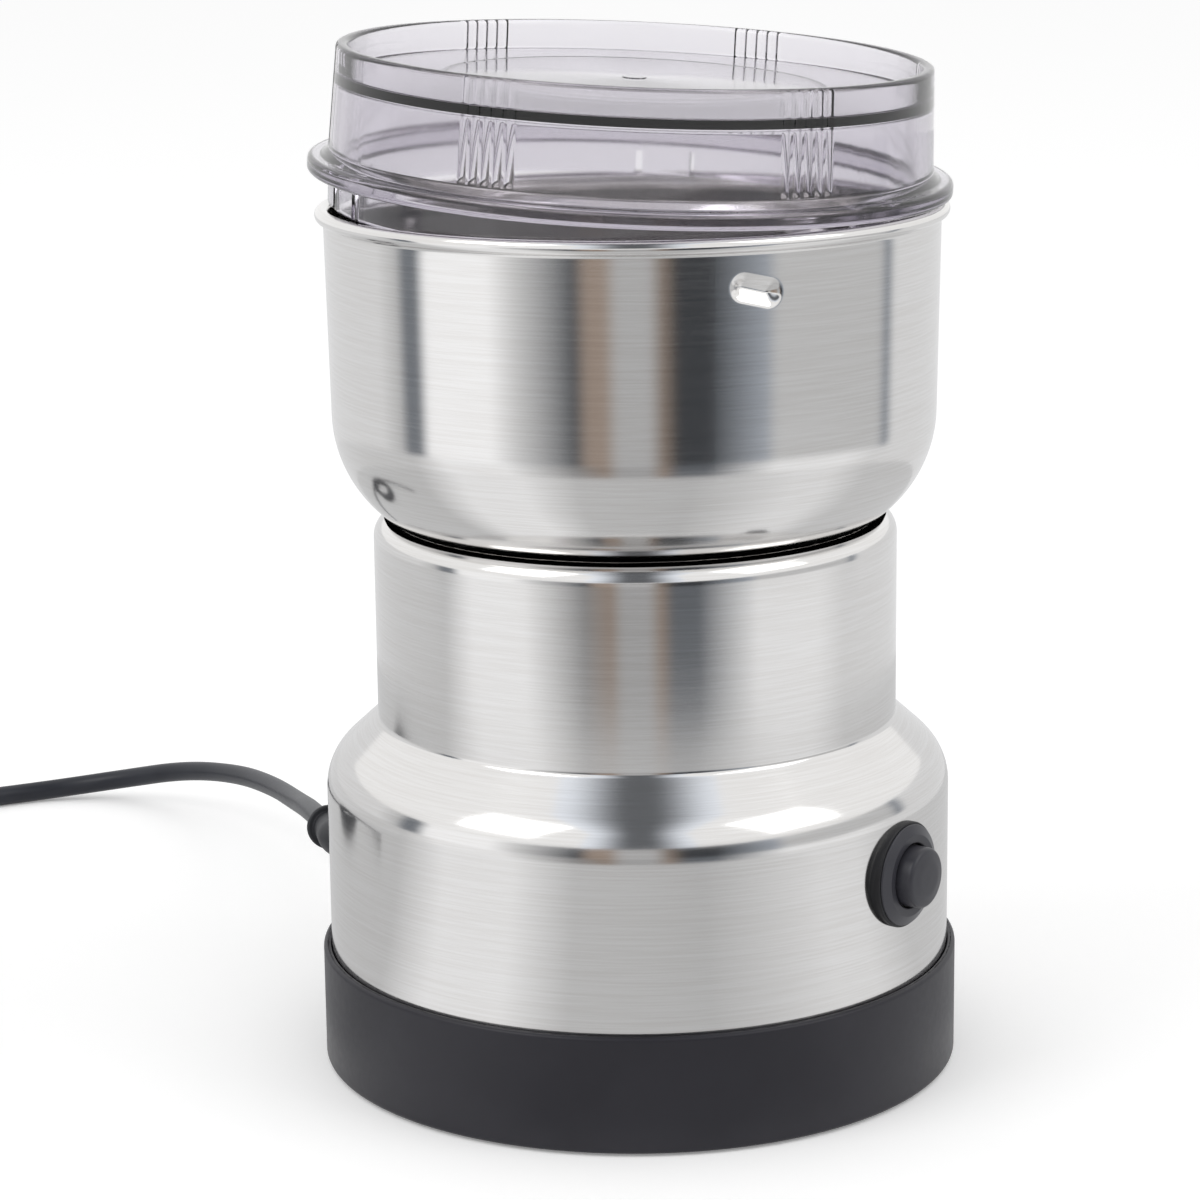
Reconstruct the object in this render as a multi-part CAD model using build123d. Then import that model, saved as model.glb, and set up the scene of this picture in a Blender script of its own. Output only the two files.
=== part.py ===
from build123d import *
import math
import os

os.makedirs("parts", exist_ok=True)

# Electric spice grinder. Millimetres, +Z up. The origin lies on the body's axis at the surface that the
# rubber feet stand on, and the front faces -Y. An azimuth is an angle in degrees from +X towards +Y.

# ---- fits and clearances
RUN_GAP = 0.05  # shaft in its bushes and seal, on the radius
SLIP_GAP = 0.1  # pieces that slide together when the grinder is built
MOVE_GAP = 0.35  # a piece that moves past another one

# ---- base
BASE_R = 54.5
BASE_TOP = 20.1
BASE_WALL = 2.6
BASE_LIP = 1.3
FOOT_LIFT = 0.4
SHELL_SEAT = 9.0
PLATE_LOW = 2.0
PLATE_TOP = 4.2
PLATE_WELL = 0.9
COLLAR_R = 16.0
COLLAR_WALL = 1.6
COLLAR_HIGH = 2.0
VENT_COUNT = 20
VENT_CIRCLE = BASE_R - 27.5
VENT_LONG = 16.0
VENT_WIDE = 2.6
FOOT_R = 5.0
FOOT_CIRCLE = BASE_R - 12.5
BOSS_CIRCLE = BASE_R - 9.0
BOSS_FIRST = 30.0
BOSS_R = 3.6
BOSS_WEB = 2.4
SCREW_R = 1.5
SCREW_HEAD_R = 3.1
CROSS_WIDE = 0.7
CROSS_LONG = 3.6

# ---- body shell
STEEL = 0.6
SHELL_R = BASE_R - BASE_LIP - SLIP_GAP
SHOULDER_Z = BASE_TOP + 32.1
SHOULDER_ROUND = 9.5
NECK_R = SHELL_R - 9.0
NECK_Z = SHOULDER_Z + 8.2
NECK_TOP = NECK_Z + 33.5
NECK_ROUND = 2.5
NECK_LIP = 0.5

# ---- bowl
BOWL_STEEL = 0.7
BOWL_LOW = NECK_TOP - 2.9
BOWL_ROUND = 20.5
RIM_R = SHELL_R - 0.6
BEAD_R = 1.2
BEAD_WALL = 0.6
BOWL_R = RIM_R - 2.3
BOWL_FLARE = 0.017
RIM_Z = BOWL_LOW + 54.7
DIMPLE_Z = RIM_Z - 7.15
DIMPLE_FIRST = -68.1
DIMPLE_LONG = 9.3
DIMPLE_HIGH = 5.0
DIMPLE_SIDE = 2.2
DIMPLE_FLOOR = 1.3
DIMPLE_DEEP = 1.3
DIMPLE_SLANT = -14.0
BOWL_SCREW_CIRCLE = 20.0
BOWL_SCREW_FIRST = 90.0
BOWL_SCREW_R = 2.0
PAN_HEAD_R = 3.8
PAN_HEAD_HIGH = 2.2

# ---- lid, in its own frame with the flange's underside at z = 0
FLANGE_R = RIM_R + 0.77
FLANGE_HIGH = 2.8
LID_WALL = 2.0
LID_FOOT_R = FLANGE_R - 3.32
LID_TOP_R = LID_FOOT_R - 0.95
LID_HIGH = 21.0
LID_SINK = 4.9
LID_DISC = 1.4
LID_DOME = 0.7
DISC_STEP_R = 31.0
DISC_STEP = 0.12
GATE_R = 2.0
GATE_HIGH = 0.35
SKIRT_R = BOWL_R - 0.45
SKIRT_DEEP = 5.2
TAB_DEEP = 6.6
TAB_R = SKIRT_R + 0.1
TAB_HALF = 4.7
TAB_FIRST = -84.0
SLIT_FIRST = 82.0
SLIT_ASIDE = 5.8
SLIT_WIDE = 1.2
FLUTE_GROUPS = 6
FLUTE_FIRST = 3.0
FLUTE_STEP = 2.4
FLUTE_COUNT = 5
FLUTE_R = 0.8
FLUTE_OUT = 0.4
LID_Z = RIM_Z + 4.7
LID_TILT = 3.585
LID_TILT_LOW = -30.0
LID_SHIFT = 0.35

# ---- push button, with distances from the grinder's axis
SWITCH_AZ = -35.5
SWITCH_Z = SHOULDER_Z - 12.5
BUTTON_R = 5.05
BUTTON_FACE = SHELL_R + 5.0
BUTTON_DOME = 0.25
BUTTON_SKIRT = 0.8
STEM_R = 1.6
BEZEL_FACE = SHELL_R + 2.1
BEZEL_R = 8.4
BEZEL_EDGE = 0.3
BEZEL_BEVEL = 1.6
GASKET_R = 8.8
GASKET_FACE = SHELL_R + 1.0
BARREL_R = 6.6
BARREL_BACK = SHELL_R - 7.1
BUTTON_TRAVEL = 2.5
SWITCH_FRONT = SHELL_R - 12.4
SWITCH_BACK = SHELL_R - 22.1
SWITCH_HALF = 8.0
SWITCH_HIGH = 14.0
SWITCH_NUT_R = 9.2
SWITCH_NUT_THICK = 3.0
SPRING_R = 2.9
SPRING_WIRE = 0.35
TERMINAL_X = 3.5
TERMINAL_Y = -3.0
TERMINAL_WIDE = 4.8
TERMINAL_LONG = 7.0

# ---- motor
SHAFT_R = 3.0
THREAD_R = 2.5
MOUNT_LOW = BOWL_LOW - 6.0
MOUNT_HUB_R = 10.0
MOUNT_ROOF = 2.0
BEARING_R = 7.0
LOW_BEARING_R = 5.5
STATOR_TOP = MOUNT_LOW - 14.0
STATOR_LOW = STATOR_TOP - 24.0
STATOR_WIDE = 2 * NECK_R - 25.2
STATOR_DEEP = 56.0
STATOR_CORNER = 14.0
STATOR_BORE = 16.1
WINDOW_WIDE = STATOR_WIDE - 23.0
WINDOW_DEEP = 6.0
WINDOW_Y = 20.0
POLE_WIDE = WINDOW_WIDE - 13.0
WINDING_OVER = 6.5
PILLAR_R = 4.5
PILLAR_X = STATOR_WIDE / 2 - PILLAR_R
BRACKET_LOW = STATOR_LOW - 23.5
BRACKET_THICK = 3.5
BRACKET_WIDE = 14.0
BRACKET_SPAN = 50.0
FAN_TOP = BRACKET_LOW - 3.5
FAN_LOW = FAN_TOP - 9.5
FAN_R = 20.0
FAN_HUB_R = 6.0
FAN_DISC = 1.4
VANE_LONG = 14.5
VANE_THICK = 1.3
COMMUTATOR_R = 7.0
COMMUTATOR_HALF = 4.4
BRUSH_Z = STATOR_LOW - 11.0
BRUSH_WIDE = 5.0
BRUSH_HIGH = 6.0
BRUSH_LONG = 11.0
HOLDER_LONG = 15.0
HOLDER_WALL = 0.9
BLADE_LOW = BOWL_LOW + 6.0
BLADE_THICK = 1.5
BLADE_SPAN = 37.0
BLADE_BEND = 21.0
WASHER_THICK = 1.0
NUT_R = 4.6
NUT_HIGH = 4.2

# ---- mains lead
CORD_R = 2.0
CORD_AZ = 160.0
CORD_Z = BASE_TOP + 11.5
CORD_FLOOR = CORD_R + 0.05
CORD_UPPER = CORD_FLOOR + 2 * CORD_R
RELIEF_TAIL = SHELL_R - 17.1
RELIEF_FLANGE_R = 6.5
RELIEF_TAIL_R = 4.6
LEAD_R = 1.1
LEAD_SPACE = 1.3
LEAD_Z = 28.0
LEAD_ROUTE = [
    (-36.5, -2.0, LEAD_Z - 1.0),
    (-25.0, -24.0, LEAD_Z),
    (-5.0, -31.0, LEAD_Z),
    (12.0, -28.0, LEAD_Z),
]
CORD_ROUTE = [
    (-56.1, 31.4, 30.1),
    (-61.6, 56.1, 26.1),
    (-66.1, 81.6, 20.0),
    (-73.3, 106.6, 16.1),
    (-82.9, 128.6, 12.7),
    (-96.2, 145.2, 9.0),
    (-111.1, 154.4, 4.5),
    (-126.8, 155.1, CORD_FLOOR),
    (-143.0, 147.5, CORD_FLOOR),
    (-160.1, 137.0, CORD_FLOOR),
    (-174.5, 126.2, CORD_FLOOR),
]
COIL_R = 22.0
COIL_PLAY = 0.04
COIL_STUB = 16.0
TIE_WIDE = 4.0
TIE_THICK = 0.5
TIE_AZ = 20.0
PLUG_ROUTE = [
    (-26.0, -20.0, CORD_UPPER),
    (-25.8, -34.0, 5.4),
    (-24.0, -48.0, 3.2),
    (-19.5, -61.5, CORD_FLOOR),
    (-11.5, -73.0, 3.1),
    (-1.5, -82.5, 4.9),
]
SLEEVE_LONG = 12.0
PLUG_LONG = 34.0
PLUG_WIDE = 33.0
PLUG_HIGH = 13.6
PLUG_NOSE = 15.0
PLUG_BACK_WIDE = 12.0
PIN_R = 2.0
PIN_LONG = 19.0
PIN_SPACE = 18.6


# ---- drawing helpers
def rounded_edges(corners):
    """Closed line through (across, up, round) corners, with a tangent arc at each rounded one."""
    points = [Vector(corner[0], corner[1]) for corner in corners]
    starts, ends, edges = [], [], []
    for i, point in enumerate(points):
        size = corners[i][2] if len(corners[i]) > 2 else 0
        back = (points[i - 1] - point).normalized()
        ahead = (points[(i + 1) % len(points)] - point).normalized()
        if size <= 0:
            starts.append(point)
            ends.append(point)
            continue
        half = math.radians(back.get_angle(ahead) / 2)
        starts.append(point + back * (size / math.tan(half)))
        ends.append(point + ahead * (size / math.tan(half)))
        middle = point + (back + ahead).normalized() * (size / math.sin(half) - size)
        edges.append(ThreePointArc(starts[i], middle, ends[i]))
    for i, point in enumerate(ends):
        target = starts[(i + 1) % len(points)]
        if (target - point).length > 1e-6:
            edges.append(Line(point, target))
    return edges


def turned(corners):
    """Solid of revolution about Z from a closed (radius, height, round) outline."""
    return revolve(Plane.XZ * make_face(rounded_edges(corners)), Axis.Z)


def sheet_corners(corners, thickness):
    """Closed outline of a sheet: an open line, and its copy one thickness to the line's left."""
    points = [Vector(corner[0], corner[1]) for corner in corners]
    sides = []
    for low, high in zip(points, points[1:]):
        run = (high - low).normalized()
        sides.append(Vector(-run.Y, run.X))
    copy = []
    for i, point in enumerate(points):
        before = sides[max(i - 1, 0)]
        after = sides[min(i, len(sides) - 1)]
        size = corners[i][2] if len(corners[i]) > 2 else 0
        turn = before.X * after.Y - before.Y * after.X
        shift = (before + after) * (thickness / (1 + before.dot(after)))
        inner_size = size - math.copysign(thickness, turn) if size else 0
        copy.append((point.X + shift.X, point.Y + shift.Y, max(inner_size, 0)))
    return list(corners) + copy[::-1]


def rod(radius, low, high, bore=0.0):
    """Upright cylinder between two heights, with a hole along it when bore is given."""
    disc = Circle(radius) - Circle(bore) if bore else Circle(radius)
    return Pos(0, 0, low) * extrude(disc, high - low)


def block(wide, deep, low, high, x=0.0, y=0.0, corner=0.0):
    """Upright block between two heights, with its vertical edges rounded when corner is given."""
    face = RectangleRounded(wide, deep, corner) if corner else Rectangle(wide, deep)
    return Pos(x, y, low) * extrude(face, high - low)


def polar(distance, azimuth):
    """Point (x, y) at a distance and an azimuth from the axis."""
    angle = math.radians(azimuth)
    return distance * math.cos(angle), distance * math.sin(angle)


def outward(azimuth, height):
    """Frame on the body's axis whose Z points outward, X along the surface and Y up."""
    x, y = polar(1, azimuth)
    return Plane(origin=(0, 0, height), x_dir=(-y, x, 0), z_dir=(x, y, 0))


def around(count, shape, radius=0.0, first=0.0):
    """Copies of a shape spread evenly about the axis at a radius."""
    copies = []
    for i in range(count):
        copies.append(Rot(0, 0, first + i * 360 / count) * Pos(radius, 0, 0) * shape)
    return copies


def bowl_outside(height):
    """Outer radius of the bowl at a height, above or on its rounded foot."""
    middle = BOWL_LOW + BOWL_ROUND
    if height >= middle:
        return BOWL_R + BOWL_FLARE * (height - BOWL_LOW)
    return bowl_outside(middle) - BOWL_ROUND + math.sqrt(BOWL_ROUND**2 - (middle - height) ** 2)


# ---- base
def make_base_ring():
    wall_r = BASE_R - BASE_WALL
    pocket_r = BASE_R - BASE_LIP
    ring = turned([
        (wall_r, FOOT_LIFT, 0.3),
        (BASE_R, FOOT_LIFT, 0.8),
        (BASE_R, BASE_TOP, 0.7),
        (pocket_r, BASE_TOP, 0.4),
        (pocket_r, SHELL_SEAT),
        (wall_r, SHELL_SEAT, 0.4),
    ])
    boss = rod(BOSS_R, PLATE_TOP, SHELL_SEAT, SCREW_R)
    web_long = wall_r + 0.5 * BASE_WALL - BOSS_CIRCLE - BOSS_R
    web = block(web_long, BOSS_WEB, PLATE_TOP, SHELL_SEAT, BOSS_R + web_long / 2 - 0.1)
    for spoke in around(3, boss + web, BOSS_CIRCLE, BOSS_FIRST):
        ring += spoke
    return ring


def make_base_plate():
    plate_r = BASE_R - BASE_WALL - SLIP_GAP
    plate = rod(plate_r, PLATE_LOW, PLATE_TOP)
    plate += rod(COLLAR_R, PLATE_TOP, PLATE_TOP + COLLAR_HIGH, COLLAR_R - COLLAR_WALL)
    slot = Pos(0, 0, PLATE_LOW) * extrude(SlotOverall(VENT_LONG, VENT_WIDE), PLATE_TOP - PLATE_LOW)
    for gap in around(VENT_COUNT, slot, VENT_CIRCLE):
        plate -= gap
    for hole in around(3, rod(SCREW_R + SLIP_GAP, PLATE_LOW, PLATE_TOP), BOSS_CIRCLE, BOSS_FIRST):
        plate -= hole
    well_top = PLATE_LOW + PLATE_WELL
    for well in around(3, rod(SCREW_HEAD_R + 0.3, PLATE_LOW, well_top), BOSS_CIRCLE, BOSS_FIRST):
        plate -= well
    for well in around(4, rod(FOOT_R, PLATE_LOW, well_top), FOOT_CIRCLE, 45):
        plate -= well
    return plate


def make_rubber_feet():
    top = PLATE_LOW + PLATE_WELL
    pad = turned([(0, 0), (FOOT_R - 0.4, 0, 0.5), (FOOT_R, top), (0, top)])
    return Compound(around(4, pad, FOOT_CIRCLE, 45))


def make_base_screws():
    head_low = PLATE_LOW + 0.1
    head_top = PLATE_LOW + PLATE_WELL
    head = rod(SCREW_HEAD_R, head_low, head_top)
    cross = block(CROSS_WIDE, CROSS_LONG, head_low, head_low + 0.5)
    head -= cross + Rot(0, 0, 90) * cross
    screw = head + rod(SCREW_R, head_top, SHELL_SEAT - 0.6)
    return Compound(around(3, screw, BOSS_CIRCLE, BOSS_FIRST))


# ---- body shell
def make_body_shell():
    lip_r = bowl_outside(NECK_TOP) + NECK_LIP
    shell = turned(sheet_corners([
        (SHELL_R, SHELL_SEAT),
        (SHELL_R, SHOULDER_Z, SHOULDER_ROUND),
        (NECK_R, NECK_Z, 1.2),
        (NECK_R, NECK_TOP, NECK_ROUND),
        (lip_r, NECK_TOP),
    ], STEEL))
    shell -= outward(SWITCH_AZ, SWITCH_Z) * rod(BARREL_R + SLIP_GAP, NECK_R, BASE_R)
    shell -= outward(CORD_AZ, CORD_Z) * rod(RELIEF_TAIL_R + SLIP_GAP, NECK_R, BASE_R)
    return shell


# ---- bowl
def dimple_solid(grow):
    """Tapered oval plug that presses a dimple inward, grown on all sides by the sheet's thickness."""
    outer = SlotOverall(DIMPLE_LONG + 2 * grow, DIMPLE_HIGH + 2 * grow)
    inner = SlotOverall(DIMPLE_LONG - 2 * DIMPLE_SIDE + 2 * grow, DIMPLE_FLOOR + 2 * grow)
    surface = bowl_outside(DIMPLE_Z)
    floor = surface - DIMPLE_DEEP - grow
    plane = outward(0, DIMPLE_Z)
    return loft([
        plane * Pos(0, 0, surface + 0.3) * Rot(0, 0, DIMPLE_SLANT) * outer,
        plane * Pos(0, 0, floor) * Rot(0, 0, DIMPLE_SLANT) * inner,
    ])


def make_bowl():
    wall_top = RIM_Z + 0.4 * BEAD_R
    bowl = turned(sheet_corners([
        (SHAFT_R + 3.0, BOWL_LOW),
        (BOWL_R, BOWL_LOW, BOWL_ROUND),
        (bowl_outside(wall_top), wall_top),
    ], BOWL_STEEL))
    bead_face = Pos(RIM_R - BEAD_R, RIM_Z) * (Circle(BEAD_R) - Circle(BEAD_R - BEAD_WALL))
    bowl += revolve(Plane.XZ * bead_face, Axis.Z)
    inside = rod(bowl_outside(DIMPLE_Z) - 0.1, DIMPLE_Z - 6, DIMPLE_Z + 6)
    for i in range(3):
        turn = Rot(0, 0, DIMPLE_FIRST + 120 * i)
        bowl += turn * (dimple_solid(BOWL_STEEL) & inside)
        bowl -= turn * dimple_solid(0)
    hole = rod(BOWL_SCREW_R + SLIP_GAP, BOWL_LOW, BOWL_LOW + BOWL_STEEL)
    for cut in around(3, hole, BOWL_SCREW_CIRCLE, BOWL_SCREW_FIRST):
        bowl -= cut
    return bowl


def make_bowl_screws():
    seat = BOWL_LOW + BOWL_STEEL
    top = seat + PAN_HEAD_HIGH
    head = turned([(0, seat), (PAN_HEAD_R, seat), (PAN_HEAD_R, top, 1.2), (0, top)])
    cross = block(CROSS_WIDE + 0.2, CROSS_LONG + 0.8, seat + 1.0, top)
    head -= cross + Rot(0, 0, 90) * cross
    screw = head + rod(BOWL_SCREW_R, MOUNT_LOW + 0.5, seat)
    return Compound(around(3, screw, BOWL_SCREW_CIRCLE, BOWL_SCREW_FIRST))


def make_bowl_mount():
    """Carrier under the bowl: a ribbed disc with the upper bearing's hub and two pillars for the motor."""
    rim_r = NECK_R - STEEL - SLIP_GAP
    top = NECK_TOP - STEEL - SLIP_GAP
    rest_r = bowl_outside(NECK_TOP) - 0.6
    roof = BOWL_LOW - MOUNT_ROOF
    hub_low = MOUNT_LOW - 5.0
    mount = turned([
        (BEARING_R, hub_low),
        (MOUNT_HUB_R, hub_low),
        (MOUNT_HUB_R, MOUNT_LOW),
        (rim_r, MOUNT_LOW, 0.6),
        (rim_r, top, NECK_ROUND),
        (rest_r + 1.2, top),
        (rest_r - 1.4, BOWL_LOW),
        (BEARING_R, BOWL_LOW),
    ])
    well_in, well_out, well_top = MOUNT_HUB_R + 3.0, rim_r - 7.4, roof - 0.5
    mount -= turned([
        (well_in, MOUNT_LOW),
        (well_out, MOUNT_LOW),
        (well_out, well_top, 1.0),
        (well_in, well_top, 1.0),
    ])
    rib = block(well_out - well_in + 1.0, 1.6, MOUNT_LOW, roof)
    for spoke in around(12, rib, (well_in + well_out) / 2, 15):
        mount += spoke
    for boss in around(3, rod(4.5, MOUNT_LOW, roof), BOWL_SCREW_CIRCLE, BOWL_SCREW_FIRST):
        mount += boss
    for hole in around(3, rod(BOWL_SCREW_R, MOUNT_LOW, BOWL_LOW), BOWL_SCREW_CIRCLE, BOWL_SCREW_FIRST):
        mount -= hole
    for pillar in around(2, rod(PILLAR_R, STATOR_TOP, roof), PILLAR_X):
        mount += pillar
    for hole in around(2, rod(BOWL_SCREW_R, STATOR_TOP, STATOR_TOP + 12.0), PILLAR_X):
        mount -= hole
    return mount


def make_bowl_seal():
    shaft_hole = SHAFT_R + RUN_GAP
    return turned([
        (shaft_hole, BOWL_LOW),
        (SHAFT_R + 3.0, BOWL_LOW),
        (SHAFT_R + 3.0, BOWL_LOW + BOWL_STEEL),
        (SHAFT_R + 5.0, BOWL_LOW + BOWL_STEEL),
        (SHAFT_R + 5.0, BOWL_LOW + 2.0, 0.6),
        (SHAFT_R + 2.0, BOWL_LOW + 3.0, 0.6),
        (shaft_hole, BOWL_LOW + 3.0),
    ])


# ---- motor, fixed pieces
def make_upper_bearing():
    return rod(BEARING_R, MOUNT_LOW - 4.0, BOWL_LOW - 1.0, SHAFT_R + RUN_GAP)


def make_lower_bearing():
    return rod(LOW_BEARING_R, BRACKET_LOW - 0.5, BRACKET_LOW + 7.0, SHAFT_R + RUN_GAP)


def make_lower_bracket():
    top = BRACKET_LOW + BRACKET_THICK
    bracket = block(2 * (PILLAR_X + PILLAR_R), BRACKET_WIDE, BRACKET_LOW, top, corner=5)
    bracket += block(BRACKET_WIDE, BRACKET_SPAN, BRACKET_LOW, top, corner=5)
    bracket += rod(LOW_BEARING_R + 2.5, BRACKET_LOW, top + 2.0)
    for pillar in around(2, rod(PILLAR_R, BRACKET_LOW, STATOR_LOW), PILLAR_X):
        bracket += pillar
    for hole in around(2, rod(BOWL_SCREW_R, BRACKET_LOW, STATOR_LOW), PILLAR_X):
        bracket -= hole
    rest = block(7.0, 8.0, top, BRUSH_Z - BRUSH_HIGH / 2 - HOLDER_WALL - SLIP_GAP)
    for post in around(2, rest, BRACKET_SPAN / 2 - 4.5, 90):
        bracket += post
    return bracket - rod(LOW_BEARING_R, BRACKET_LOW, top + 2.0)


def pole_block(low, high):
    """The bridge between one pole and the ring of laminations, which its coil is wound round."""
    return block(POLE_WIDE, WINDOW_DEEP + 1.0, low, high, 0, WINDOW_Y)


def make_stator_core():
    core = block(STATOR_WIDE, STATOR_DEEP, STATOR_LOW, STATOR_TOP, corner=STATOR_CORNER)
    core -= rod(STATOR_BORE, STATOR_LOW, STATOR_TOP)
    window = block(WINDOW_WIDE, WINDOW_DEEP, STATOR_LOW, STATOR_TOP, 0, WINDOW_Y)
    for gap in around(2, window - pole_block(STATOR_LOW, STATOR_TOP)):
        core -= gap
    for hole in around(2, rod(BOWL_SCREW_R + SLIP_GAP, STATOR_LOW, STATOR_TOP), PILLAR_X):
        core -= hole
    return core


def make_field_coils():
    low, high = STATOR_LOW - WINDING_OVER, STATOR_TOP + WINDING_OVER
    coil = block(WINDOW_WIDE - 2 * SLIP_GAP, WINDOW_DEEP - 2 * SLIP_GAP, low, high, 0, WINDOW_Y)
    return Compound(around(2, coil - pole_block(STATOR_LOW, STATOR_TOP)))


def make_motor_screws():
    head_low = BRACKET_LOW - 2.6
    head = turned([(0, head_low), (3.6, head_low, 1.2), (3.6, BRACKET_LOW), (0, BRACKET_LOW)])
    screw = head + rod(BOWL_SCREW_R, BRACKET_LOW, STATOR_TOP + 11.0)
    return Compound(around(2, screw, PILLAR_X))


def make_brush_holders():
    middle = COMMUTATOR_R + 2.0 + HOLDER_LONG / 2
    hole_wide, hole_high = BRUSH_WIDE + 2 * SLIP_GAP, BRUSH_HIGH / 2 + SLIP_GAP
    half = hole_high + HOLDER_WALL
    tube = block(HOLDER_LONG, hole_wide + 2 * HOLDER_WALL, BRUSH_Z - half, BRUSH_Z + half)
    tube -= block(HOLDER_LONG, hole_wide, BRUSH_Z - hole_high, BRUSH_Z + hole_high)
    return Compound(around(2, tube, middle, 90))


def make_carbon_brushes():
    face_r = COMMUTATOR_R + 2 * SLIP_GAP
    low, high = BRUSH_Z - BRUSH_HIGH / 2, BRUSH_Z + BRUSH_HIGH / 2
    brush = block(BRUSH_LONG, BRUSH_WIDE, low, high, face_r + BRUSH_LONG / 2)
    return Compound(around(2, brush - rod(face_r, low, high), 0, 90))


def make_brush_springs():
    """Bent strip behind each brush, lying on the floor of its holder."""
    back = COMMUTATOR_R + 2 * SLIP_GAP + BRUSH_LONG
    floor = BRUSH_Z - BRUSH_HIGH / 2 - SLIP_GAP
    leaf = block(0.5, BRUSH_WIDE - 1.0, floor, BRUSH_Z + 2.5, back + 0.25)
    leaf += block(5.8, BRUSH_WIDE - 1.0, floor, floor + 0.5, back + 2.9)
    return Compound(around(2, leaf, 0, 90))


# ---- motor, turning pieces
def make_motor_shaft():
    shaft = rod(SHAFT_R, FAN_LOW - 1.0, BLADE_LOW) + rod(THREAD_R, BLADE_LOW, BLADE_LOW + 8.5)
    return chamfer(shaft.edges().group_by(Axis.Z)[-1], 0.5)


def make_armature_core():
    core_r = STATOR_BORE - 0.6
    core = rod(core_r, STATOR_LOW + 1, STATOR_TOP - 1, SHAFT_R)
    slot = block(5.0, 1.8, STATOR_LOW + 1, STATOR_TOP - 1)
    for gap in around(12, slot, core_r - 2.0):
        core -= gap
    return core


def make_armature_winding():
    root_r, crown_r = STATOR_BORE - 2.5, STATOR_BORE - 4.1
    low = turned([
        (SHAFT_R, STATOR_LOW - 5),
        (crown_r - 1.5, STATOR_LOW - 5, 2),
        (root_r, STATOR_LOW + 1),
        (SHAFT_R, STATOR_LOW + 1),
    ])
    high = turned([
        (SHAFT_R, STATOR_TOP - 1),
        (root_r, STATOR_TOP - 1),
        (crown_r, STATOR_TOP + 6, 2.5),
        (SHAFT_R, STATOR_TOP + 6),
    ])
    return Compound([low, high])


def make_commutator():
    low, high = BRUSH_Z - COMMUTATOR_HALF, BRUSH_Z + COMMUTATOR_HALF
    drum = rod(COMMUTATOR_R, low, high, SHAFT_R)
    drum += rod(COMMUTATOR_R + 1.4, high, STATOR_LOW - 5, SHAFT_R)
    for gap in around(12, block(1.2, 0.5, low, high), COMMUTATOR_R):
        drum -= gap
    return drum


def make_cooling_fan():
    fan = rod(FAN_R, FAN_TOP - FAN_DISC, FAN_TOP, SHAFT_R) + rod(FAN_HUB_R, FAN_LOW, FAN_TOP, SHAFT_R)
    vane = Rot(0, 0, 18) * block(VANE_LONG, VANE_THICK, FAN_LOW, FAN_TOP - FAN_DISC)
    for spoke in around(8, vane, (FAN_HUB_R + FAN_R) / 2 - 0.6):
        fan += spoke
    return fan


def make_blade_spacer():
    return rod(5.4, BOWL_LOW + 3.4, BLADE_LOW, SHAFT_R)


def make_blade():
    """Four wings stamped from one sheet, with tips bent up and down in turn."""
    half = 6.0
    reach = BLADE_SPAN - BLADE_BEND
    root = Polygon((0, -half - 0.5), (BLADE_BEND, -half), (BLADE_BEND, half), (0, half + 0.5), align=None)
    flat = Pos(0, 0, BLADE_LOW) * extrude(root, BLADE_THICK)
    tip = Polygon(
        (-1, -half), (reach - 3, -4.2), (reach, 1.5), (reach - 5, half - 0.6), (-1, half), align=None)
    blade = rod(8.5, BLADE_LOW, BLADE_LOW + BLADE_THICK)
    for i, pitch in enumerate((24, -12, 24, -12)):
        wing = Pos(BLADE_BEND, 0, BLADE_LOW) * Rot(0, -pitch, 0) * extrude(tip, BLADE_THICK)
        blade += Rot(0, 0, 45 + 90 * i) * (flat + wing)
    return blade - rod(THREAD_R, BLADE_LOW, BLADE_LOW + BLADE_THICK)


def make_blade_washer():
    low = BLADE_LOW + BLADE_THICK
    return rod(6.5, low, low + WASHER_THICK, THREAD_R)


def make_blade_nut():
    low = BLADE_LOW + BLADE_THICK + WASHER_THICK
    top = low + NUT_HIGH
    nut = Pos(0, 0, low) * extrude(RegularPolygon(NUT_R, 6), NUT_HIGH)
    nut &= turned([(0, low), (NUT_R, low), (NUT_R, top - 0.8), (NUT_R - 1.2, top), (0, top)])
    return nut - rod(THREAD_R, low, top)


# ---- lid
def lid_place(shape):
    """Set a shape from the lid's frame on the rim: shifted, and tilted down at one side."""
    x, y = polar(-LID_SHIFT, LID_TILT_LOW)
    ax, ay = polar(1, LID_TILT_LOW + 90)
    return Pos(x, y, LID_Z) * (shape.rotate(Axis((0, 0, 0), (ax, ay, 0)), LID_TILT))


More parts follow.
